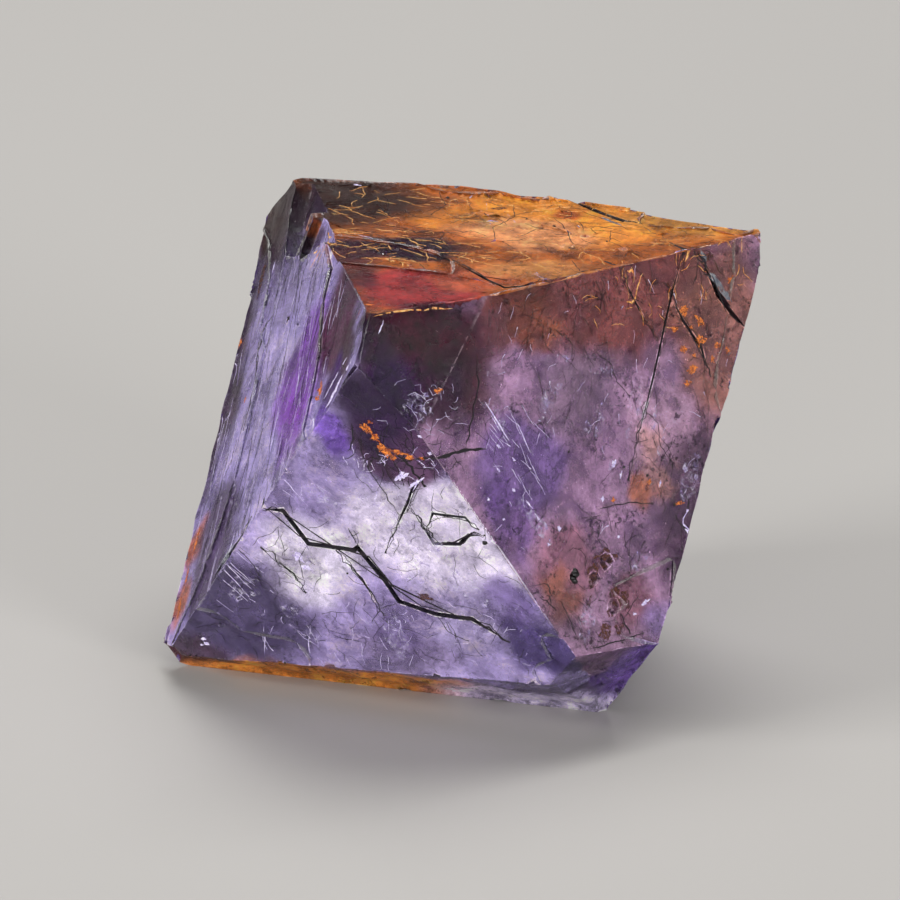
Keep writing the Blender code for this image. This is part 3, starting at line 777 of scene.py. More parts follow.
    def clouds(self, tree: bpy.types.NodeTree, place: bpy.types.NodeSocket) -> bpy.types.NodeSocket:
        """Add dark and light clouds, crossed by fine broken hairlines.

        Args:
            tree: The material's nodes.
            place: Where on the stone, in metres.

        Returns:
            A tone around one.
        """
        texture = add_node(
            tree, "ShaderNodeTexNoise",
            {"Scale": 1.0 / self.cloud, "Detail": 8.0, "Roughness": 0.80}, {"Vector": place},
        )
        shade = add_node(
            tree, "ShaderNodeMapRange", {"From Min": 0.40, "From Max": 0.61, "To Min": 0.25, "To Max": 2.0},
            {"Value": texture.outputs["Fac"]},
        )
        bent = add_node(
            tree, "ShaderNodeVectorMath", {"operation": "MULTIPLY_ADD", 1: (self.cloud * 2,) * 3},
            {0: texture.outputs["Color"], 2: place},
        )
        cells = add_node(
            tree, "ShaderNodeTexVoronoi", {"feature": "DISTANCE_TO_EDGE", "Scale": 0.42 / self.cloud},
            {"Vector": bent.outputs["Vector"]},
        )
        broken = add_node(
            tree, "ShaderNodeTexNoise", {"Scale": 0.7 / self.cloud, "Detail": 3.0}, {"Vector": bent.outputs["Vector"]}
        )
        reach = add_node(
            tree, "ShaderNodeMapRange", {"From Min": 0.46, "From Max": 0.60, "To Max": 0.022},
            {"Value": broken.outputs["Fac"]},
        )
        line = add_node(
            tree, "ShaderNodeMath", {"operation": "GREATER_THAN"},
            {0: cells.outputs["Distance"], 1: reach.outputs["Result"]},
        )
        dark = add_node(tree, "ShaderNodeMapRange", {"To Min": 0.2}, {"Value": line.outputs["Value"]})
        return add_node(
            tree, "ShaderNodeMath", {"operation": "MULTIPLY"},
            {0: shade.outputs["Result"], 1: dark.outputs["Result"]},
        ).outputs["Value"]

    def flecks(
        self, tree: bpy.types.NodeTree, place: bpy.types.NodeSocket, weight: bpy.types.NodeSocket,
    ) -> tuple[bpy.types.NodeSocket, bpy.types.NodeSocket]:
        """Add clusters of small dark flecks and a few small bright specks as painted glints.

        Args:
            tree: The material's nodes.
            place: Where on the stone, in metres.
            weight: How many flecks there are, from 0 to 1.

        Returns:
            A tone that is near nothing in the dark flecks, and a mask of the painted glints.
        """
        fine = add_node(
            tree, "ShaderNodeTexNoise", {"Scale": 1.0 / self.fleck, "Detail": 5.0, "Roughness": 0.68},
            {"Vector": place},
        )
        where = add_node(
            tree, "ShaderNodeTexNoise", {"Scale": 0.16 / self.fleck, "Detail": 3.0}, {"Vector": place}
        )
        masks = []
        for low, high, start, end in ((0.47, 0.60, 0.46, 0.40), (0.53, 0.40, 0.645, 0.69)):
            number = add_node(
                tree, "ShaderNodeMapRange", {"From Min": low, "From Max": high}, {"Value": where.outputs["Fac"]}
            )
            mark = add_node(
                tree, "ShaderNodeMapRange", {"From Min": start, "From Max": end}, {"Value": fine.outputs["Fac"]}
            )
            there = add_node(
                tree, "ShaderNodeMath", {"operation": "MULTIPLY"}, {0: number.outputs["Result"], 1: weight}
            )
            masks.append(add_node(
                tree, "ShaderNodeMath", {"operation": "MULTIPLY"},
                {0: mark.outputs["Result"], 1: there.outputs["Value"]},
            ))
        dark = add_node(
            tree, "ShaderNodeMapRange", {"To Min": 1.0, "To Max": 0.12}, {"Value": masks[0].outputs["Value"]}
        )
        return dark.outputs["Result"], masks[1].outputs["Value"]

    def rim(
        self, tree: bpy.types.NodeTree, place: bpy.types.NodeSocket, edge: bpy.types.NodeSocket,
    ) -> bpy.types.NodeSocket:
        """Add painted highlights along the stone's edges, broken up by noise.

        Args:
            tree: The material's nodes.
            place: Where on the stone, in metres.
            edge: One at an edge, falling to nothing beside it.

        Returns:
            A mask of the painted edge highlights.
        """
        close = add_node(
            tree, "ShaderNodeMapRange", {"From Min": 0.62, "From Max": 0.92, "To Max": 0.8}, {"Value": edge}
        )
        texture = add_node(
            tree, "ShaderNodeTexNoise", {"Scale": 0.5 / self.fleck, "Detail": 4.0, "Roughness": 0.7}, {"Vector": place}
        )
        there = add_node(
            tree, "ShaderNodeMapRange", {"From Min": 0.42, "From Max": 0.58}, {"Value": texture.outputs["Fac"]}
        )
        return add_node(
            tree, "ShaderNodeMath", {"operation": "MULTIPLY"},
            {0: close.outputs["Result"], 1: there.outputs["Result"]},
        ).outputs["Value"]

    def haze(
        self, tree: bpy.types.NodeTree, place: bpy.types.NodeSocket, milky: bpy.types.NodeSocket,
        bright: bpy.types.NodeSocket,
    ) -> bpy.types.NodeSocket:
        """Vary the milkiness, and make the painted glints and edge highlights wholly milky.

        Args:
            tree: The material's nodes.
            place: Where on the stone, in metres.
            milky: How milky the stone is there.
            bright: A mask of the painted glints and edge highlights.

        Returns:
            The milkiness, from 0 to 1.
        """
        veils = add_node(
            tree, "ShaderNodeTexNoise",
            {"Scale": 0.6 / self.cloud, "Detail": 4.0, "Roughness": 0.68, "Distortion": 0.4}, {"Vector": place},
        )
        milk = add_node(
            tree, "ShaderNodeMapRange", {"From Min": 0.35, "From Max": 0.68, "To Min": 0.45, "To Max": 1.5},
            {"Value": veils.outputs["Fac"]},
        )
        veiled = add_node(
            tree, "ShaderNodeMath", {"operation": "MULTIPLY", "use_clamp": True}, {0: milky, 1: milk.outputs["Result"]}
        )
        return add_node(
            tree, "ShaderNodeMath", {"operation": "MAXIMUM", "use_clamp": True},
            {0: veiled.outputs["Value"], 1: bright},
        ).outputs["Value"]


# ---------------------------------------------------------------- places under the skin
@dataclass
class Site:
    """Finds places just under the stone's skin.

    Attributes:
        planes: The plane of each face.
        tree: The skin's surface.
    """

    planes: dict[Face, FacePlane]
    tree: BVHTree

    def under(self, face: Face, right: float, up: float, depth: float) -> Vector | None:
        """Find the point a depth under the skin.

        Args:
            face: The face to look through.
            right: Place on the face, in millimetres.
            up: Place on the face, in millimetres.
            depth: How deep, in millimetres.

        Returns:
            The point in metres, or None beside the face.
        """
        plane = self.planes[face]
        hit, normal, _, _ = self.tree.ray_cast(plane.at(right, up, -1.0), -plane.out, (plane.reach + 1.0) * MM)
        if hit is None or normal.dot(plane.out) < 0.25:
            return None
        return hit - plane.out * depth * MM

    def near(self, face: Face, place: Vector, middle: Vector, depth: float) -> Vector:
        """Return the point under the skin at a place, or the last such point on the way to a middle that has one."""
        for share in (1.0, 0.85, 0.7, 0.5, 0.3, 0.15):
            found = self.under(face, *middle.lerp(place, share), depth)
            if found is not None:
                return found
        return self.under(face, *middle, depth)


def smooth_route(route: list[tuple[float, float]], spacing: float, ragged: float, seed: int) -> list[Vector]:
    """Walk along a route at even steps, wandering a little to each side.

    Args:
        route: Its corners, in millimetres on a face.
        spacing: Length of a step, in millimetres.
        ragged: How far it wanders, in millimetres.
        seed: Seeds the wandering.

    Returns:
        The points of the walk.
    """
    points = []
    for start, end in zip(route, route[1:]):
        first, last = Vector(start), Vector(end)
        steps = max(1, round((last - first).length / spacing))
        side = (last - first).orthogonal().normalized()
        for step in range(steps):
            share = step / steps
            stray = noise.noise(Vector((*(first.lerp(last, share) * 1.4), seed))) * ragged
            points.append(first.lerp(last, share) + side * stray * min(1.0, 4 * share, 4 * (1 - share)))
    return [*points, Vector(route[-1])]


@dataclass
class Sheets:
    """Thin sheets and slips inside the stone, gathered into one closed mesh of many islands.

    Attributes:
        site: Finds places under the skin.
        solid: The mesh that gathers them.
    """

    site: Site
    solid: bmesh.types.BMesh = field(default_factory=bmesh.new)

    def thicken(self, flat: bmesh.types.BMesh, offsets: dict[bmesh.types.BMVert, Vector]) -> None:
        """Close a flat sheet by a second sheet at an offset from each of its points, and keep it.

        Args:
            flat: The sheet; it is freed.
            offsets: How far the second sheet lies from each point.
        """
        grown = bmesh.ops.extrude_face_region(flat, geom=list(flat.faces), use_keep_orig=True)
        fresh = [item for item in grown["geom"] if isinstance(item, bmesh.types.BMVert)]
        olds = {tuple(round(axis, 9) for axis in vert.co): offset for vert, offset in offsets.items()}
        for vert in fresh:
            vert.co += olds[tuple(round(axis, 9) for axis in vert.co)]
        bmesh.ops.recalc_face_normals(flat, faces=flat.faces)
        mesh = bpy.data.meshes.new("sheet")
        flat.to_mesh(mesh)
        flat.free()
        self.solid.from_mesh(mesh)
        bpy.data.meshes.remove(mesh)

    def ribbon(
        self, face: Face, route: list[tuple[float, float]], width: float, depths: tuple[float, float],
        lean: float = 0.0, seed: int = 0, ragged: float = 0.12, rows: int = 3,
    ) -> None:
        """Add a ribbon on edge that goes down from a route, tapering to both ends and to its foot.

        Args:
            face: The face it starts under.
            route: Its corners, in millimetres on the face.
            width: Thickness at its top, in millimetres.
            depths: How deep its top and its foot lie, in millimetres.
            lean: How far its foot lies to the side, in millimetres.
            seed: Seeds its raggedness.
            ragged: How far it wanders, in millimetres.
            rows: How many rows of faces it has from its top to its foot.
        """
        walk = [at for at in smooth_route(route, 0.28, ragged, seed) if self.site.under(face, *at, 0.0)]
        if len(walk) < 4:
            return
        flat = bmesh.new()
        bmesh.ops.create_grid(flat, x_segments=len(walk) - 1, y_segments=rows, size=0.5)
        offsets = {}
        plane = self.site.planes[face]
        for vert in flat.verts:
            index = round((vert.co.x + 0.5) * (len(walk) - 1))
            down = round((vert.co.y + 0.5) * rows) / rows
            along = (walk[min(index + 1, len(walk) - 1)] - walk[max(index - 1, 0)]).normalized()
            side = Vector((-along.y, along.x))
            share = index / (len(walk) - 1)
            taper = min(1.0, 0.12 + 5 * share, 0.12 + 5 * (1 - share))
            uneven = 0.75 + 0.5 * noise.noise(Vector((index * 0.35, seed, 1.0)))
            place = walk[index] + side * (lean * down + 0.08 * noise.noise(Vector((index * 0.5, down * 2, seed))))
            depth = depths[0] + (depths[1] - depths[0]) * down * taper * uneven
            thick = max(0.012, width * taper * uneven * (1 - 0.75 * down))
            vert.co = self.site.near(face, place, walk[index], depth)
            offsets[vert] = self.site.near(face, place + side * thick, walk[index], depth) - vert.co
            if offsets[vert].length < 0.5 * thick * MM:
                offsets[vert] = plane.matrix.to_3x3() @ Vector((*side, -0.5)) * thick * MM
        self.thicken(flat, offsets)

    def blot(
        self, face: Face, place: tuple[float, float], size: tuple[float, float], depth: float,
        turn: float = 0.0, seed: int = 0, ragged: float = 0.5, thick: float = 0.03,
    ) -> None:
        """Add a thin ragged slip that lies along a face.

        Args:
            face: The face it lies under.
            place: Its middle, in millimetres on the face.
            size: Its length and width, in millimetres.
            depth: How deep it lies, in millimetres.
            turn: How far it is turned on the face, in degrees.
            seed: Seeds its outline.
            ragged: How uneven its outline is.
            thick: Its thickness, in millimetres.
        """
        middle = Vector(place)
        if self.site.under(face, *middle, 0.0) is None:
            return
        flat = bmesh.new()
        bmesh.ops.create_circle(flat, cap_ends=True, cap_tris=True, segments=26, radius=1.0)
        inner = [edge for edge in flat.edges if not edge.is_boundary]
        bmesh.ops.subdivide_edges(flat, edges=inner, cuts=2)
        bmesh.ops.triangulate(flat, faces=[poly for poly in flat.faces if len(poly.verts) > 4])
        cos, sin = math.cos(math.radians(turn)), math.sin(math.radians(turn))
        out = self.site.planes[face].out
        offsets = {}
        for vert in flat.verts:
            reach = vert.co.length
            way = vert.co.normalized() if reach > 1e-6 else Vector((1.0, 0.0, 0.0))
            edge = 1.0 + ragged * (noise.noise(way * 1.3 + Vector((0, 0, seed * 3.7)))
                                   + 0.6 * noise.noise(way * 3.8 + Vector((0, 0, seed * 1.9))))
            x, y = vert.co.x * size[0] * 0.5 * edge, vert.co.y * size[1] * 0.5 * edge
            at = middle + Vector((x * cos - y * sin, x * sin + y * cos))
            vert.co = self.site.near(face, at, middle, depth)
            offsets[vert] = -out * thick * (1.0 - 0.6 * reach) * MM
        self.thicken(flat, offsets)

    def needle(
        self, face: Face, ends: tuple[tuple[float, float], tuple[float, float]], width: float,
        depth: float, seed: int = 0,
    ) -> None:
        """Add a slim spindle between two places under a face.

        Args:
            face: The face it lies under.
            ends: Its two ends, in millimetres on the face.
            width: Its thickness in the middle, in millimetres.
            depth: How deep its middle line lies, in millimetres.
            seed: Seeds its bends.
        """
        count = 8
        first, last = Vector(ends[0]), Vector(ends[1])
        middle = [first.lerp(last, share / count) for share in range(count + 1)]
        side = (last - first).orthogonal().normalized()
        if self.site.under(face, *middle[count // 2], 0.0) is None:
            return
        rod = bmesh.new()
        bmesh.ops.create_cone(rod, cap_ends=True, segments=6, radius1=1.0, radius2=1.0, depth=1.0)
        upright = [edge for edge in rod.edges if abs(edge.verts[0].co.z - edge.verts[1].co.z) > 0.5]
        bmesh.ops.subdivide_edges(rod, edges=upright, cuts=count - 1)
        turned = self.site.planes[face].matrix.to_3x3()
        bases = [self.site.near(face, at, middle[count // 2], 0.0) for at in middle]
        for vert in rod.verts:
            step = min(count, max(0, round((vert.co.z + 0.5) * count)))
            share = step / count
            stray = 0.12 * noise.noise(Vector((step * 0.4, seed, 2.0)))
            radius = width * 0.5 * max(0.06, math.sin(math.pi * share) ** 0.7)
            at = middle[step] + side * (stray + vert.co.x * radius)
            below = depth - vert.co.y * radius
            vert.co = bases[step] + turned @ (Vector((*(at - middle[step]), -below)) * MM)
        mesh = bpy.data.meshes.new("rod")
        bmesh.ops.recalc_face_normals(rod, faces=rod.faces)
        rod.to_mesh(mesh)
        rod.free()
        self.solid.from_mesh(mesh)
        bpy.data.meshes.remove(mesh)

    def piece(self, name: str, material: bpy.types.Material) -> bpy.types.Object:
        """Turn what has been gathered into a piece."""
        return finish_piece(name, self.solid, material)


# ---------------------------------------------------------------- what fills the cracks
class Fill(Enum):
    """What lies in the stone's cracks and hollows, and the painted shadow in its cracks."""

    SHADOW = "dark_crack_lining"
    RUST = "iron_oxide_stain"
    OCHRE = "brown_clay_film"
    VEIL = "healed_fracture_veil"
    FROST = "crushed_fluorite"
    AIR = "silvery_air_film"
    MINERAL = "black_sulphide_grain"
    AMBER = "iron_stained_fracture"


@dataclass(frozen=True)
class FillFinish:
    """A film or a mineral in a crack, or the painted shadow in one: two colours that mingle, and an edge that may thin
    out.

    Attributes:
        dark: Its darker colour.
        light: Its lighter colour.
        roughness: Least and most roughness.
        grain: How wide its patches are, in metres.
        cover: Where it thins out to nothing and where it is whole, as levels of noise, or None if it is solid.
        metallic: How metallic it is.
    """

    dark: str
    light: str
    roughness: tuple[float, float]
    grain: float = 0.5 * MM
    cover: tuple[float, float] | None = None
    metallic: float = 0.0

    def build(self, fill: Fill) -> bpy.types.Material:
        """Return the material of a fill.

        Args:
            fill: Which fill it is, for its name.

        Returns:
            The material.
        """
        material, shader = new_material(fill.value)
        tree = material.node_tree
        place = add_node(tree, "ShaderNodeTexCoord").outputs["Object"]
        patches = add_node(
            tree, "ShaderNodeTexNoise",
            {"Scale": 1.0 / self.grain, "Detail": 6.0, "Roughness": 0.65, "Distortion": 0.8}, {"Vector": place},
        )
        share = add_node(
            tree, "ShaderNodeMapRange", {"From Min": 0.38, "From Max": 0.62}, {"Value": patches.outputs["Fac"]}
        )
        colour = add_node(
            tree, "ShaderNodeMix", {"data_type": "RGBA", 6: linear(self.dark), 7: linear(self.light)},
            {0: share.outputs["Result"]},
        )
        rough = add_node(
            tree, "ShaderNodeMapRange", {"To Min": self.roughness[0], "To Max": self.roughness[1]},
            {"Value": patches.outputs["Fac"]},
        )
        relief = add_node(
            tree, "ShaderNodeBump", {"Strength": 0.6, "Distance": 0.03 * MM}, {"Height": patches.outputs["Fac"]}
        )
        tree.links.new(colour.outputs[2], shader.inputs["Base Color"])
        tree.links.new(rough.outputs["Result"], shader.inputs["Roughness"])
        tree.links.new(relief.outputs["Normal"], shader.inputs["Normal"])
        shader.inputs["Metallic"].default_value = self.metallic
        if self.cover:
            holes = add_node(
                tree, "ShaderNodeTexNoise",
                {"Scale": 0.8 / self.grain, "Detail": 7.0, "Roughness": 0.7, "Distortion": 1.2}, {"Vector": place},
            )
            there = add_node(
                tree, "ShaderNodeMapRange", {"From Min": self.cover[0], "From Max": self.cover[1]},
                {"Value": holes.outputs["Fac"]},
            )
            tree.links.new(there.outputs["Result"], shader.inputs["Alpha"])
        return material


FINISHES = {
    # painted shadow in an open crack, near black in two dark tones that mingle
    Fill.SHADOW: FillFinish("#050208", "#1c0f1a", (0.6, 0.9)),
    # iron oxide that crept in along fine cracks, from rust to bright orange
    Fill.RUST: FillFinish("#8c2806", "#f8943c", (0.5, 0.8), 0.22 * MM, (0.40, 0.54)),
    # clay washed into shallow hollows, brown and patchy
    Fill.OCHRE: FillFinish("#2e1212", "#643828", (0.6, 0.9), 0.3 * MM, (0.40, 0.56)),
    # a fracture that has healed, as a milky feathery veil
    Fill.VEIL: FillFinish("#b09cdc", "#f2eaff", (0.3, 0.6), 0.5 * MM, (0.50, 0.78)),
    # fluorite crushed to a white powder
    Fill.FROST: FillFinish("#a894d0", "#f2eaff", (0.4, 0.7), 0.2 * MM),
    # air in a crack, which mirrors the light
    Fill.AIR: FillFinish("#9aa0b4", "#f2f4fa", (0.12, 0.35), 0.4 * MM, (0.36, 0.50), 0.8),
    # grains of a black sulphide
    Fill.MINERAL: FillFinish("#030203", "#120a0c", (0.25, 0.5), 0.2 * MM),
    # fine fractures with a film of iron oxide that glows where light comes through
    Fill.AMBER: FillFinish("#e07c20", "#ffd48a", (0.3, 0.5), 0.3 * MM, (0.36, 0.46)),
}


# Fine cracks, drawn in painted crack shadow: a face, the thickness, and the route on the face.
HAIRLINES = [
    (Face.FRONT, 0.1, [(-2.4, 4.9), (-1.8, 3.3)]),
    (Face.FRONT, 0.09, [(-1.0, 13.5), (-0.7, 11.7), (-0.2, 10.4), (0.8, 8.7), (1.7, 7.0)]),
    (Face.FRONT, 0.07, [(0.3, 12.8), (0.8, 11.5), (1.3, 10.2), (2.0, 9.4)]),
    (Face.FRONT, 0.14, [(-1.4, 14.8), (-1.4, 13.4), (-1.9, 12.2)]),
    (Face.FRONT, 0.07, [(1.3, 12.5), (1.9, 11.3), (2.3, 9.8)]),
    (Face.FRONT, 0.09, [(4.2, 13.0), (5.1, 13.0), (5.4, 12.4)]),
    (Face.FRONT, 0.07, [(1.1, -1.3), (-0.4, -2.2), (-1.2, -3.6)]),
    (Face.FRONT, 0.07, [(3.9, -1.9), (4.8, -3.4), (6.4, -4.0)]),
    (Face.FRONT, 0.08, [(-12.4, 2.0), (-10.6, 0.4), (-9.8, -1.2)]),
    (Face.FRONT, 0.06, [(-5.7, 2.8), (-6.6, 1.2), (-6.4, -0.6)]),
    (Face.RIGHT, 0.16, [(-9.7, 8.2), (-10.0, 6.0), (-12.3, 1.4)]),
    (Face.RIGHT, 0.3, [(-16.1, 1.6), (-14.3, 1.4), (-12.3, 1.5), (-10.2, 1.3)]),
    (Face.RIGHT, 0.1, [(-16.4, 2.2), (-15.5, 0.8), (-14.7, -0.6)]),
    (Face.RIGHT, 0.1, [(-0.7, -5.0), (1.0, -5.0), (2.4, -5.1), (4.6, -5.6)]),
    (Face.RIGHT, 0.1, [(-5.8, -10.8), (-5.2, -12.4), (-4.8, -14.0)]),
    (Face.RIGHT, 0.08, [(1.4, 6.6), (2.8, 5.2), (3.0, 3.9), (4.1, 2.6)]),
    (Face.RIGHT, 0.08, [(-2.0, 8.8), (-0.6, 7.4), (-0.9, 6.2)]),
    (Face.RIGHT, 0.07, [(5.2, 1.4), (6.3, 0.2), (6.2, -1.6), (7.0, -2.8)]),
    (Face.RIGHT, 0.12, [(-3.8, -14.9), (0.2, -14.9), (1.8, -14.8)]),
    (Face.RIGHT, 0.16, [(-0.2, -12.9), (0.4, -14.6)]),
    (Face.RIGHT, 0.08, [(1.9, -11.9), (0.0, -13.4)]),
    (Face.LEFT, 0.09, [(-4.9, 9.4), (-1.9, 6.7), (1.1, 3.6), (3.1, 0.2)]),
    (Face.LEFT, 0.07, [(-8.4, 6.6), (-5.8, 3.8), (-3.0, 0.6), (-1.0, -3.4)]),
    (Face.LEFT, 0.07, [(-2.6, -2.0), (-0.6, -5.4), (0.6, -9.6), (2.0, -13.4)]),
    (Face.LEFT, 0.08, [(5.0, 9.6), (7.6, 5.4), (9.4, 1.0)]),
    (Face.TOP, 0.1, [(-10.0, -3.0), (-8.3, -3.2), (-7.0, -2.5), (-5.3, -5.1), (-2.9, -5.1)]),
    (Face.TOP, 0.08, [(4.0, 7.8), (5.1, 6.5), (7.7, 1.7)]),
    (Face.TOP, 0.07, [(-6.0, 9.8), (-4.4, 7.0), (-4.6, 4.2)]),
    (Face.TOP, 0.07, [(0.2, 9.4), (1.2, 6.6), (0.6, 3.4), (2.0, 0.2)]),
    (Face.TOP, 0.07, [(8.8, 6.8), (9.6, 4.2), (12.0, 2.6)]),
    (Face.TOP, 0.07, [(-11.8, 6.0), (-9.0, 4.8), (-7.4, 2.2)]),
]

# Slips that lie along a face: place on it, length, width and turn.
SLIPS = {
    Fill.RUST: {
        Face.NOSE: [
            (-6.8, 1.1, 0.6, 0.35, -40), (-6.3, 0.6, 0.5, 0.3, 20), (-5.4, -0.5, 0.7, 0.4, -45),
            (-4.8, -0.8, 0.4, 0.35, 0), (-3.7, -0.8, 0.5, 0.25, -20), (-7.0, 1.5, 0.3, 0.25, 60),
            (-5.8, -0.1, 0.4, 0.5, 30), (-1.8, 4.2, 0.5, 0.35, 20), (-10.4, 4.0, 0.3, 0.7, -10),
            (-10.6, 3.3, 0.25, 0.4, 0),
        ],
        Face.RIGHT: [
            (10.6, 7.8, 0.9, 0.6, 20), (11.6, 5.5, 0.8, 1.0, 70), (10.0, 5.1, 0.5, 0.7, 40),
            (10.5, 3.5, 0.9, 0.5, 10), (9.8, 2.5, 0.6, 0.6, 0), (13.4, 4.8, 0.5, 0.9, 60),
            (14.3, 4.3, 0.4, 0.5, 0), (9.4, 6.7, 0.5, 0.4, 0), (12.0, 6.9, 0.5, 0.8, 30),
            (11.0, 6.6, 0.3, 0.4, 0), (12.6, 3.9, 0.3, 0.5, 0), (10.9, 4.5, 0.3, 0.3, 0),
            (4.6, -3.9, 0.5, 0.3, 20), (7.0, -6.0, 0.9, 0.2, 0), (0.9, -4.6, 0.3, 0.4, 0),
            (15.6, 9.4, 0.6, 0.5, 30),
        ],
        Face.FRONT: [
            (-0.2, 14.6, 1.0, 0.45, 150), (0.4, 13.8, 0.8, 0.5, 130), (1.1, 12.9, 1.1, 0.7, 150),
            (2.0, 12.8, 0.7, 0.4, 170), (2.9, 12.7, 0.8, 0.4, 160), (3.9, 12.6, 0.4, 0.25, 0),
            (0.1, 15.2, 0.4, 0.3, 0), (-3.5, -9.2, 0.6, 0.3, 0), (-5.8, -9.2, 0.5, 0.3, 30),
            (5.4, -8.6, 0.9, 0.16, 130), (4.4, -8.2, 0.7, 0.14, 130),
        ],
        Face.LEFT: [
            (-3.2, -14.0, 0.5, 1.6, 30), (-1.0, -18.4, 0.6, 1.5, 35), (-2.0, -16.4, 0.4, 1.2, 35),
            (-12.3, -0.5, 0.4, 0.9, 30), (-5.4, -2.8, 0.2, 0.6, 30),
        ],
        Face.TOP: [
            (-3.2, -17.6, 2.2, 0.5, 22), (-1.6, -17.9, 1.0, 0.3, 22),
        ],
    },
    Fill.OCHRE: {
        Face.RIGHT: [
            (-0.8, -8.6, 1.7, 1.5, 10), (-2.4, -9.8, 1.0, 1.5, -20), (-0.4, -11.3, 1.2, 1.7, 0),
            (-1.3, -12.7, 0.5, 0.7, 0), (-2.0, -13.9, 1.1, 1.0, 30), (-0.6, -14.0, 0.9, 1.2, 0),
            (0.6, -12.0, 0.8, 1.4, -10), (-3.0, -11.4, 0.3, 0.9, -40), (13.8, 11.4, 0.7, 0.5, 0),
        ],
        Face.TOP: [
            (7.6, 1.6, 0.6, 0.4, 0), (-0.5, 8.1, 1.2, 0.5, 40), (-10.2, 9.6, 2.2, 1.2, 0),
        ],
        Face.LEFT: [
            (-1.4, 5.2, 0.5, 0.7, 0), (-13.2, 4.2, 0.8, 2.4, 30),
        ],
        Face.FRONT: [
            (3.2, -0.4, 1.0, 0.6, 0),
        ],
    },
    Fill.VEIL: {
        Face.FRONT: [
            (-6.4, 1.6, 3.2, 1.6, 120), (-6.0, -1.6, 1.8, 1.5, 30), (-7.7, -3.9, 1.4, 1.2, 0),
            (-2.6, 2.0, 1.6, 1.3, 0), (-4.6, 7.6, 4.2, 1.4, 145), (3.6, 5.2, 3.2, 3.0, 0),
            (1.0, 6.5, 4.4, 2.0, 140), (-1.0, 10.6, 3.0, 1.4, 110), (0.6, -4.6, 3.8, 2.0, 100),
            (-11.2, -2.4, 3.0, 2.0, 40), (6.8, 1.4, 2.6, 3.6, 30), (2.4, 2.0, 3.0, 2.2, 150),
        ],
        Face.RIGHT: [
            (1.1, -2.3, 1.6, 0.5, 70), (3.4, 0.2, 1.4, 0.4, 60), (0.8, 1.5, 2.4, 0.8, 66),
            (4.9, 2.2, 2.0, 0.5, 70), (-0.5, 1.0, 1.8, 0.7, 62), (6.0, 0.5, 1.6, 0.4, 66),
            (6.3, -1.4, 1.8, 0.5, 62), (-8.8, 3.2, 3.6, 1.1, -60), (-6.4, 1.2, 2.2, 0.3, -68),
            (-15.6, 5.4, 2.8, 2.0, 20), (-1.8, 6.6, 3.4, 0.5, -12), (1.8, 5.0, 2.8, 0.5, 170),
            (-7.0, -4.4, 4.4, 1.0, -55), (-3.6, 3.6, 3.0, 1.4, 40), (2.6, -9.6, 2.0, 1.6, 0),
            (-3.6, -12.8, 3.0, 1.4, 60), (8.6, -4.4, 3.4, 1.6, 60),
        ],
        Face.LEFT: [
            (-7.4, 6.0, 5.0, 0.7, -52), (0.2, 2.2, 6.0, 0.8, -55), (2.0, -8.0, 5.0, 0.7, -60),
        ],
    },
    Fill.FROST: {
        Face.RIGHT: [
            (-9.4, -0.4, 0.35, 0.15, -50), (-8.3, -2.1, 0.3, 0.2, -50), (-7.1, -3.4, 0.7, 0.16, -55),
            (-6.5, -4.5, 0.8, 0.14, -55), (-5.9, -6.6, 0.25, 0.25, 0), (-4.7, -5.7, 0.25, 0.4, 0),
            (-10.8, -2.3, 0.2, 0.2, 0), (-9.7, -4.0, 0.2, 0.2, 0), (-9.0, 1.3, 0.4, 0.2, -50),
            (-7.8, 0.1, 0.35, 0.15, -50), (-0.1, -4.3, 0.4, 0.3, 20), (1.5, -2.0, 0.6, 0.3, 60),
            (2.0, -2.9, 0.4, 0.2, 60), (0.8, -7.3, 0.25, 0.2, 0), (5.6, -4.2, 0.5, 0.12, 60),
            (2.4, -12.6, 0.7, 0.25, 20), (1.2, -13.2, 0.4, 0.2, 0),
        ],
        Face.FRONT: [
            (-15.0, -8.2, 0.35, 0.3, 30), (-14.8, -8.6, 0.4, 0.25, -20), (-15.2, -8.8, 0.25, 0.2, 0),
            (2.2, 10.6, 1.3, 0.5, 50), (3.3, 10.2, 1.6, 0.42, 52), (2.7, 8.9, 1.4, 0.3, 75),
            (-6.6, 1.4, 0.9, 0.5, 120), (-6.1, 0.5, 0.6, 0.5, 0), (-4.7, 14.0, 0.7, 0.4, 60),
            (-4.9, 13.2, 0.4, 0.3, 0), (4.6, 13.2, 0.4, 0.25, 20), (3.9, 14.6, 0.35, 0.2, 0),
        ],
        Face.TOP: [
            (-10.0, 12.1, 0.8, 0.2, 30), (-5.9, 12.3, 0.7, 0.2, 60), (-12.0, 8.4, 0.5, 0.3, 0),
        ],
        Face.LEFT: [
            (-6.4, 9.0, 0.4, 0.8, 30), (-3.6, 9.6, 0.3, 1.0, 30), (-10.8, 6.2, 0.2, 0.9, 30),
        ],
    },
}
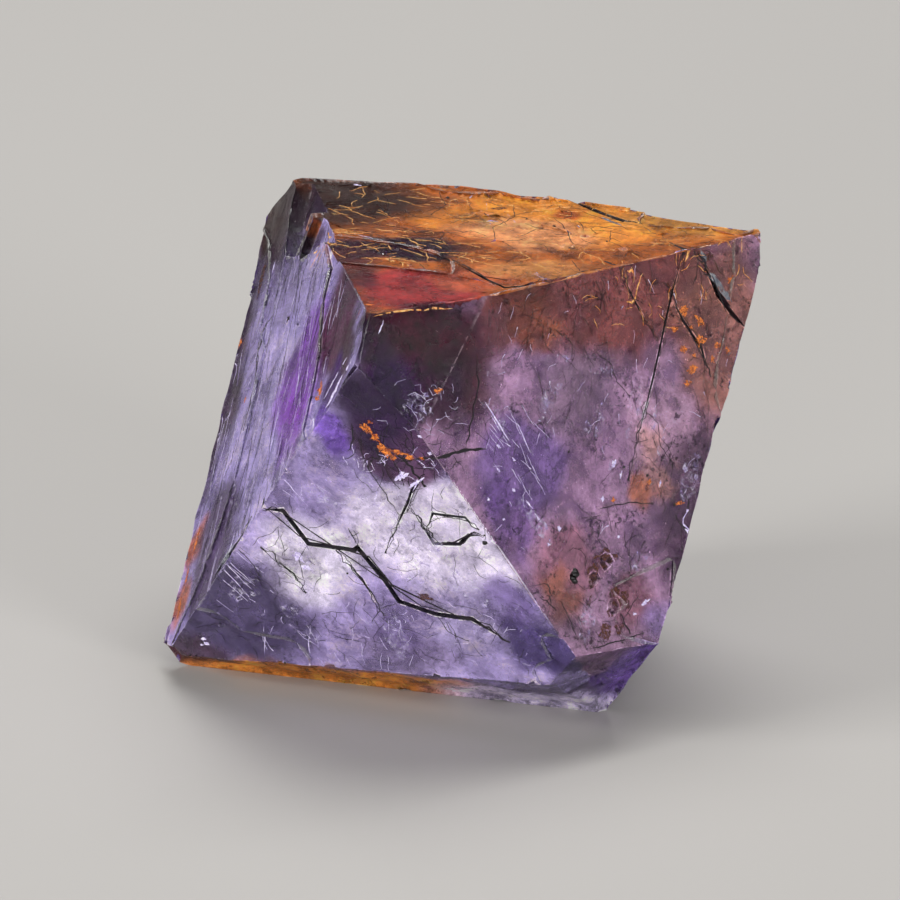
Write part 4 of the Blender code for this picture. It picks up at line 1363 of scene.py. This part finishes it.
# White needles: a face, the thickness in the middle, and the two ends on the face.
NEEDLES = [
    (Face.RIGHT, 0.14, ((-9.7, 5.0), (-7.8, 1.3))), (Face.RIGHT, 0.098, ((-9.3, 3.9), (-8.6, 2.2))),
    (Face.RIGHT, 0.098, ((-7.0, 3.0), (-6.1, 0.0))), (Face.RIGHT, 0.049, ((-10.4, 2.4), (-9.0, 0.2))),
    (Face.RIGHT, 0.056, ((-9.9, 0.6), (-9.2, -1.0))), (Face.FRONT, 0.084, ((-9.9, -5.4), (-10.2, -9.0))),
    (Face.FRONT, 0.084, ((-6.1, -4.4), (-6.7, -9.2))), (Face.FRONT, 0.056, ((-4.2, 2.2), (-4.6, 0.2))),
    (Face.FRONT, 0.098, ((0.2, 9.0), (-0.2, 7.6))), (Face.FRONT, 0.056, ((-5.4, 9.0), (-2.8, 7.4))),
    (Face.FRONT, 0.049, ((-5.6, 6.6), (-3.4, 7.6))), (Face.TOP, 0.049, ((-2.2, 9.8), (0.4, 3.6))),
    (Face.TOP, 0.049, ((-1.2, 9.4), (2.2, 4.8))), (Face.TOP, 0.063, ((-9.4, -2.4), (-4.0, -4.2))),
]
# Black grains: a face, the place on it and the radius.
GRAINS_OF_SULPHIDE = [
    (Face.RIGHT, (-3.86, -9.1), 0.42), (Face.RIGHT, (-4.02, -9.4), 0.46),
    (Face.RIGHT, (-4.16, -9.68), 0.42), (Face.RIGHT, (6.6, -6.0), 0.14), (Face.RIGHT, (3.6, -5.7), 0.11),
    (Face.RIGHT, (2.4, -2.4), 0.13), (Face.RIGHT, (4.5, -3.4), 0.13), (Face.RIGHT, (-2.6, -0.3), 0.12),
    (Face.RIGHT, (5.1, -10.6), 0.11), (Face.RIGHT, (-0.6, -15.0), 0.1), (Face.RIGHT, (-12.9, 7.0), 0.1),
    (Face.TOP, (4.6, 6.0), 0.14), (Face.TOP, (2.2, 6.6), 0.1), (Face.TOP, (9.4, 4.2), 0.1),
    (Face.TOP, (-4.8, 8.6), 0.16), (Face.LEFT, (-1.2, 5.4), 0.16), (Face.FRONT, (-2.8, 0.6), 0.1),
    (Face.FRONT, (8.3, 5.6), 0.22), (Face.FRONT, (-8.6, -9.2), 0.12),
]

@dataclass(frozen=True)
class Swarm:
    """Many fine marks strewn over an oval patch of a face.

    Attributes:
        face: The face they lie on.
        middle: The patch's middle, in millimetres on the face.
        reach: How far the patch reaches to the right and up, in millimetres.
        number: How many marks there are.
        length: Least and most length of a mark, in millimetres.
        width: Width of a mark, in millimetres.
        turn: Which way the marks run, in degrees from the face's right.
        spread: How far they stray from that, in degrees.
        bend: How strongly each of them bends, in degrees.
        seed: Seeds their places.
    """

    face: Face
    middle: tuple[float, float]
    reach: tuple[float, float]
    number: int
    length: tuple[float, float]
    width: float
    turn: float
    spread: float
    bend: float
    seed: int

    def routes(self) -> list[list[tuple[float, float]]]:
        """Draw the marks' routes.

        Returns:
            Four points for each mark, in millimetres on the face.
        """
        draw = random.Random(self.seed)
        found = []
        for _ in range(self.number):
            bearing, share = draw.uniform(0.0, math.tau), math.sqrt(draw.random())
            x = self.middle[0] + self.reach[0] * share * math.cos(bearing)
            y = self.middle[1] + self.reach[1] * share * math.sin(bearing)
            way = self.turn + draw.gauss(0.0, self.spread)
            stride = draw.uniform(*self.length) / 3
            route = [(x, y)]
            for _ in range(3):
                way += draw.gauss(0.0, self.bend)
                x += stride * math.cos(math.radians(way))
                y += stride * math.sin(math.radians(way))
                route.append((x, y))
            found.append(route)
        return found


SWARMS = {
    # dark hair cracks, drawn in painted crack shadow
    Fill.SHADOW: [
        Swarm(Face.FRONT, (1, 1), (13, 10), 90, (0.8, 3.2), 0.045, -60, 50, 22, 1000),
        Swarm(Face.FRONT, (-8, -5), (8, 4), 40, (0.6, 2.2), 0.045, -50, 40, 25, 1100),
        Swarm(Face.RIGHT, (3, 1), (15, 12), 120, (0.8, 3.6), 0.040, 66, 35, 18, 1200),
        Swarm(Face.RIGHT, (6, 10), (13, 3.4), 50, (0.6, 2.4), 0.040, -15, 35, 20, 1300),
        Swarm(Face.RIGHT, (-1, -10), (4, 5), 50, (0.5, 1.8), 0.050, 40, 60, 30, 1400),
        Swarm(Face.TOP, (2, 4), (17, 10), 110, (0.8, 3.6), 0.055, 20, 40, 25, 1500),
        Swarm(Face.TOP, (-5, -3), (6, 4), 40, (0.6, 2.6), 0.070, 5, 30, 25, 1600),
        Swarm(Face.LEFT, (0, 2), (12, 14), 80, (1.2, 6.0), 0.050, -57, 9, 6, 1700),
        Swarm(Face.NOSE, (-4, 0), (4, 2.5), 60, (0.5, 2.0), 0.060, -30, 60, 35, 1800),
        Swarm(Face.BACK, (0, 0), (16, 13), 70, (0.8, 3.6), 0.050, 55, 40, 20, 1900),
        Swarm(Face.UNDER_LEFT, (0, 0), (12, 12), 50, (0.8, 3.6), 0.050, -60, 30, 15, 1930),
        Swarm(Face.UNDER_RIGHT, (0, 0), (12, 12), 50, (0.8, 3.6), 0.050, 60, 30, 15, 1960),
    ],
    Fill.FROST: [
        Swarm(Face.FRONT, (0, 0), (13, 9), 60, (0.3, 1.3), 0.035, 60, 60, 20, 2000),
        Swarm(Face.FRONT, (-4, -5.5), (8, 3), 24, (0.5, 2.0), 0.035, -80, 20, 12, 2100),
        Swarm(Face.RIGHT, (1, 2), (15, 11), 60, (0.3, 1.2), 0.030, 66, 28, 14, 2200),
        Swarm(Face.RIGHT, (-7.5, 1.5), (2.4, 3.0), 16, (0.8, 2.6), 0.040, -63, 7, 5, 2300),
        Swarm(Face.LEFT, (0, 1), (12, 15), 110, (1.0, 5.0), 0.055, -57, 7, 5, 2400),
        Swarm(Face.NOSE, (-3.2, 3.0), (2.8, 2.2), 22, (0.5, 1.8), 0.032, 20, 90, 50, 2500),
        Swarm(Face.NOSE, (-5.0, -1.2), (3.6, 1.0), 22, (0.4, 1.2), 0.045, -20, 60, 40, 2600),
        Swarm(Face.BACK, (0, 0), (16, 13), 60, (0.4, 2.4), 0.040, 50, 30, 15, 2700),
        Swarm(Face.UNDER_LEFT, (0, 0), (12, 12), 45, (0.8, 3.6), 0.040, -60, 12, 8, 2800),
        Swarm(Face.UNDER_RIGHT, (0, 0), (12, 12), 45, (0.8, 3.0), 0.040, 62, 20, 10, 2900),
    ],
    Fill.AMBER: [
        Swarm(Face.TOP, (3, 5), (16, 9), 150, (0.5, 2.8), 0.060, 25, 38, 25, 3000),
        Swarm(Face.TOP, (-4, -4), (7, 4), 60, (0.6, 2.8), 0.070, 0, 25, 25, 3100),
        Swarm(Face.RIGHT, (9, 10), (9, 3), 40, (0.4, 1.6), 0.045, 10, 60, 25, 3200),
    ],
}
# The ridges beside the nose, and the lip over it: each with its face, width and route.
RIDGES = [
    (Face.NOSE, 0.15, [(-7.1, 9.4), (-7.3, 8.0), (-7.7, 6.6)]), (Face.NOSE, 0.13, [(-6.0, 9.2), (-6.4, 7.9), (-6.7, 6.4)]),
    (Face.NOSE, 0.20, [(-8.1, 6.3), (-9.1, 4.5), (-9.9, 2.6)]), (Face.NOSE, 0.09, [(-8.5, 6.4), (-9.5, 4.6), (-10.2, 3.0)]),
]
LIP = [
    (Face.NOSE, 0.16, [(-7.0, 9.3), (-6.1, 9.55), (-5.2, 9.8), (-3.6, 10.0), (-1.0, 10.3)]),
]


@dataclass
class Fillings:
    """Everything that lies in the stone's cracks and hollows.

    Attributes:
        site: Finds places under the skin.
        materials: The finish of each fill.
    """

    site: Site
    materials: dict[Fill, bpy.types.Material]

    def build(self) -> list[bpy.types.Object]:
        """Build every filling.

        Returns:
            The pieces.
        """
        return [
            self.seams(),
            self.slips("iron_stains", Fill.RUST, 0.95),
            self.slips("clay_films", Fill.OCHRE, 0.8),
            self.slips("healed_veils", Fill.VEIL, 0.5),
            self.slips("crushed_chips", Fill.FROST, 0.95),
            self.flake(),
            self.threads(),
            self.grains(),
            self.scratches("hair_cracks", Fill.SHADOW),
            self.scratches("silken_scratches", Fill.FROST, RIDGES),
            self.scratches("amber_fractures", Fill.AMBER, LIP),
        ]

    def seams(self) -> bpy.types.Object:
        """Carry the painted shadow of the open cracks deeper into the stone as dark sheets, and add the hairlines in
        the same painted shadow.
        """
        sheets = Sheets(self.site)
        for seed, (face, opening, depth, route) in enumerate(CRACKS):
            if face in (Face.FRONT, Face.RIGHT, Face.LEFT, Face.TOP):
                sheets.ribbon(face, route, opening * 0.45, (-PROUD, depth * 0.6), 0.3, seed, 0.50)
                sheets.ribbon(face, route, opening * 0.25, (-PROUD, depth * 0.6), 0.3, seed + 20, 0.60)
        for seed, (face, width, route) in enumerate(HAIRLINES, 40):
            sheets.ribbon(face, route, width, (-PROUD, 0.5), 0.2, seed)
        return sheets.piece("painted_crack_shadows", self.materials[Fill.SHADOW])

    def scratches(self, name: str, fill: Fill, lines: list[tuple] = ()) -> bpy.types.Object:
        """Draw the fine marks of a fill over the faces.

        Args:
            name: The piece's name.
            fill: What they are made of.
            lines: Further marks, each with its face, width and route.

        Returns:
            The piece.
        """
        sheets = Sheets(self.site)
        for seed, (face, width, route) in enumerate(lines, 300):
            sheets.ribbon(face, route, width, (-PROUD, 0.12), 0.0, seed, 0.06, 1)
        for swarm in SWARMS[fill]:
            for seed, route in enumerate(swarm.routes(), swarm.seed):
                sheets.ribbon(swarm.face, route, swarm.width, (-PROUD, 0.12), 0.0, seed, 0.06, 1)
        return sheets.piece(name, self.materials[fill])

    def slips(self, name: str, fill: Fill, ragged: float) -> bpy.types.Object:
        """Lay thin slips on the faces.

        Args:
            name: The piece's name.
            fill: What they are made of.
            ragged: How uneven their outlines are.

        Returns:
            The piece.
        """
        sheets = Sheets(self.site)
        for face, slips in SLIPS[fill].items():
            for seed, (right, up, length, width, turn) in enumerate(slips, len(name)):
                sheets.blot(face, (right, up), (length, width), -PROUD, turn, seed, ragged)
        return sheets.piece(name, self.materials[fill])

    def flake(self) -> bpy.types.Object:
        """Lay the silvery film of air in the crack at the right corner, and small ones in the broken corners."""
        sheets = Sheets(self.site)
        for seed, (face, place, size, turn) in enumerate((
            (Face.RIGHT, (14.3, 9.2), (2.2, 0.9), -62), (Face.RIGHT, (15.1, 8.2), (1.1, 0.5), -50),
            (Face.RIGHT, (13.4, 11.6), (0.9, 0.4), -62), (Face.TOP, (8.0, 9.0), (2.4, 0.3), -32),
            (Face.TOP, (-6.8, -3.6), (2.6, 0.25), 10), (Face.LEFT, (6.6, -11.2), (0.3, 3.2), -24),
        ), 60):
            sheets.blot(face, place, size, -PROUD, turn, seed, 0.6)
        return sheets.piece("silvery_fracture", self.materials[Fill.AIR])

    def threads(self) -> bpy.types.Object:
        """Lay the white needles."""
        sheets = Sheets(self.site)
        for seed, (face, width, ends) in enumerate(NEEDLES):
            sheets.needle(face, ends, width, 0.02, seed)
        return sheets.piece("white_needles", self.materials[Fill.FROST])

    def grains(self) -> bpy.types.Object:
        """Set the black grains, each a lumpy ball just under the skin."""
        solid = bmesh.new()
        for seed, (face, place, radius) in enumerate(GRAINS_OF_SULPHIDE):
            middle = self.site.under(face, *place, radius * 0.2)
            ball = bmesh.ops.create_icosphere(solid, subdivisions=3, radius=radius * MM)
            for vert in ball["verts"]:
                lump = noise.noise(vert.co / (radius * MM) * 1.1 + Vector((0, 0, seed * 2.3)))
                vert.co = middle + vert.co * (1.0 + 0.35 * lump - 0.12)
        return finish_piece("sulphide_grains", solid, self.materials[Fill.MINERAL])


# ---------------------------------------------------------------- studio
@dataclass
class Studio:
    """A pale floor, soft lights and the camera.

    Attributes:
        distance: How far the camera stands from the stone's middle, in metres.
        lens: Focal length in millimetres.
        elevation: How far the camera looks down, in degrees.
        roll: The camera's turn about its own line of sight, in degrees.
        aim: Where the camera looks, to the right of and above the stone's middle in its view.
    """

    distance: float = 0.75
    lens: float = 400.0
    elevation: float = 19.4
    roll: float = -2.73
    aim: tuple[float, float] = (-0.70 * MM, 0.01 * MM)
    floor_colour: str = "#b2afab"
    world_colour: str = "#e8e9ee"

    def build(self) -> None:
        """Set up the floor, the lights and the camera."""
        self.add_camera()
        self.add_floor()
        self.add_world()
        self.add_softbox("top_light", (0.05, 0.25, 0.70), 0.5, 5.0)
        self.add_softbox("left_light", (-0.62, -0.30, 0.30), 0.25, 3.4)
        self.add_softbox("right_light", (0.45, -0.57, 0.19), 0.25, 2.7)
        self.add_softbox("front_light", (-0.16, -0.62, 0.09), 0.18, 1.5)

    def add_camera(self) -> None:
        """Place the camera so that it looks at the stone's middle from a little above."""
        tilt, roll = math.radians(self.elevation), math.radians(self.roll)
        ahead = Vector((0.0, math.cos(tilt), -math.sin(tilt)))
        level_up = Vector((0.0, math.sin(tilt), math.cos(tilt)))
        right = math.cos(roll) * Vector((1, 0, 0)) - math.sin(roll) * level_up
        up = math.sin(roll) * Vector((1, 0, 0)) + math.cos(roll) * level_up
        camera = bpy.data.objects.new("camera", bpy.data.cameras.new("camera"))
        camera.data.lens = self.lens
        turn = Matrix((right, up, -ahead)).transposed().to_4x4()
        turn.translation = MIDDLE + right * self.aim[0] + up * self.aim[1] - ahead * self.distance
        camera.matrix_world = turn
        bpy.context.scene.collection.objects.link(camera)
        bpy.context.scene.camera = camera

    def add_floor(self) -> None:
        """Lay a plain pale floor under the stone."""
        solid = bmesh.new()
        bmesh.ops.create_grid(solid, x_segments=1, y_segments=1, size=3.0)
        mesh = bpy.data.meshes.new("floor")
        solid.to_mesh(mesh)
        solid.free()
        material, shader = new_material("matt_pale_paper")
        shader.inputs["Base Color"].default_value = linear(self.floor_colour)
        shader.inputs["Roughness"].default_value = 0.9
        mesh.materials.append(material)
        floor = bpy.data.objects.new("floor", mesh)
        bpy.context.scene.collection.objects.link(floor)

    def add_world(self) -> None:
        """Surround the stone with an even pale light."""
        world = bpy.data.worlds.new("studio")
        world.use_nodes = True
        world.node_tree.nodes["Background"].inputs["Color"].default_value = linear(self.world_colour)
        world.node_tree.nodes["Background"].inputs["Strength"].default_value = 0.13
        bpy.context.scene.world = world
        bpy.context.scene.view_settings.view_transform = "Standard"
        cycles = bpy.context.scene.cycles
        cycles.max_bounces, cycles.transmission_bounces, cycles.glossy_bounces = 6, 6, 2
        cycles.diffuse_bounces, cycles.transparent_max_bounces = 2, 6

    def add_softbox(self, name: str, place: tuple[float, float, float], side: float, power: float) -> None:
        """Hang a square soft light that faces the stone.

        Args:
            name: The light's name.
            place: Where it hangs, in metres.
            side: How wide it is, in metres.
            power: Its power in watts.
        """
        light = bpy.data.lights.new(name, "AREA")
        light.size = side
        light.energy = power
        lamp = bpy.data.objects.new(name, light)
        lamp.location = place
        lamp.rotation_euler = (MIDDLE - Vector(place)).to_track_quat("-Z", "Y").to_euler()
        bpy.context.scene.collection.objects.link(lamp)


def main() -> None:
    """Build the stone's looks and the studio around it."""
    Studio().build()
    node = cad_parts[STONE]
    planes = {face: FacePlane.measure(node.data, face) for face in Face if face is not Face.NOSE}
    skin = Skin(node, dict(planes)).build()
    planes[Face.NOSE] = FacePlane.before(Face.NOSE, 22 * MM)
    tree = BVHTree.FromPolygons([v.co for v in skin.data.vertices], [p.vertices for p in skin.data.polygons])
    fills = {fill: FINISHES[fill].build(fill) for fill in Fill}
    for piece in [skin, *Fillings(Site(planes, tree), fills).build()]:
        LOG.info("%s: %d polygons", piece.name, len(piece.data.polygons))


if __name__ == "__main__":
    logging.basicConfig(level=logging.INFO)
    main()
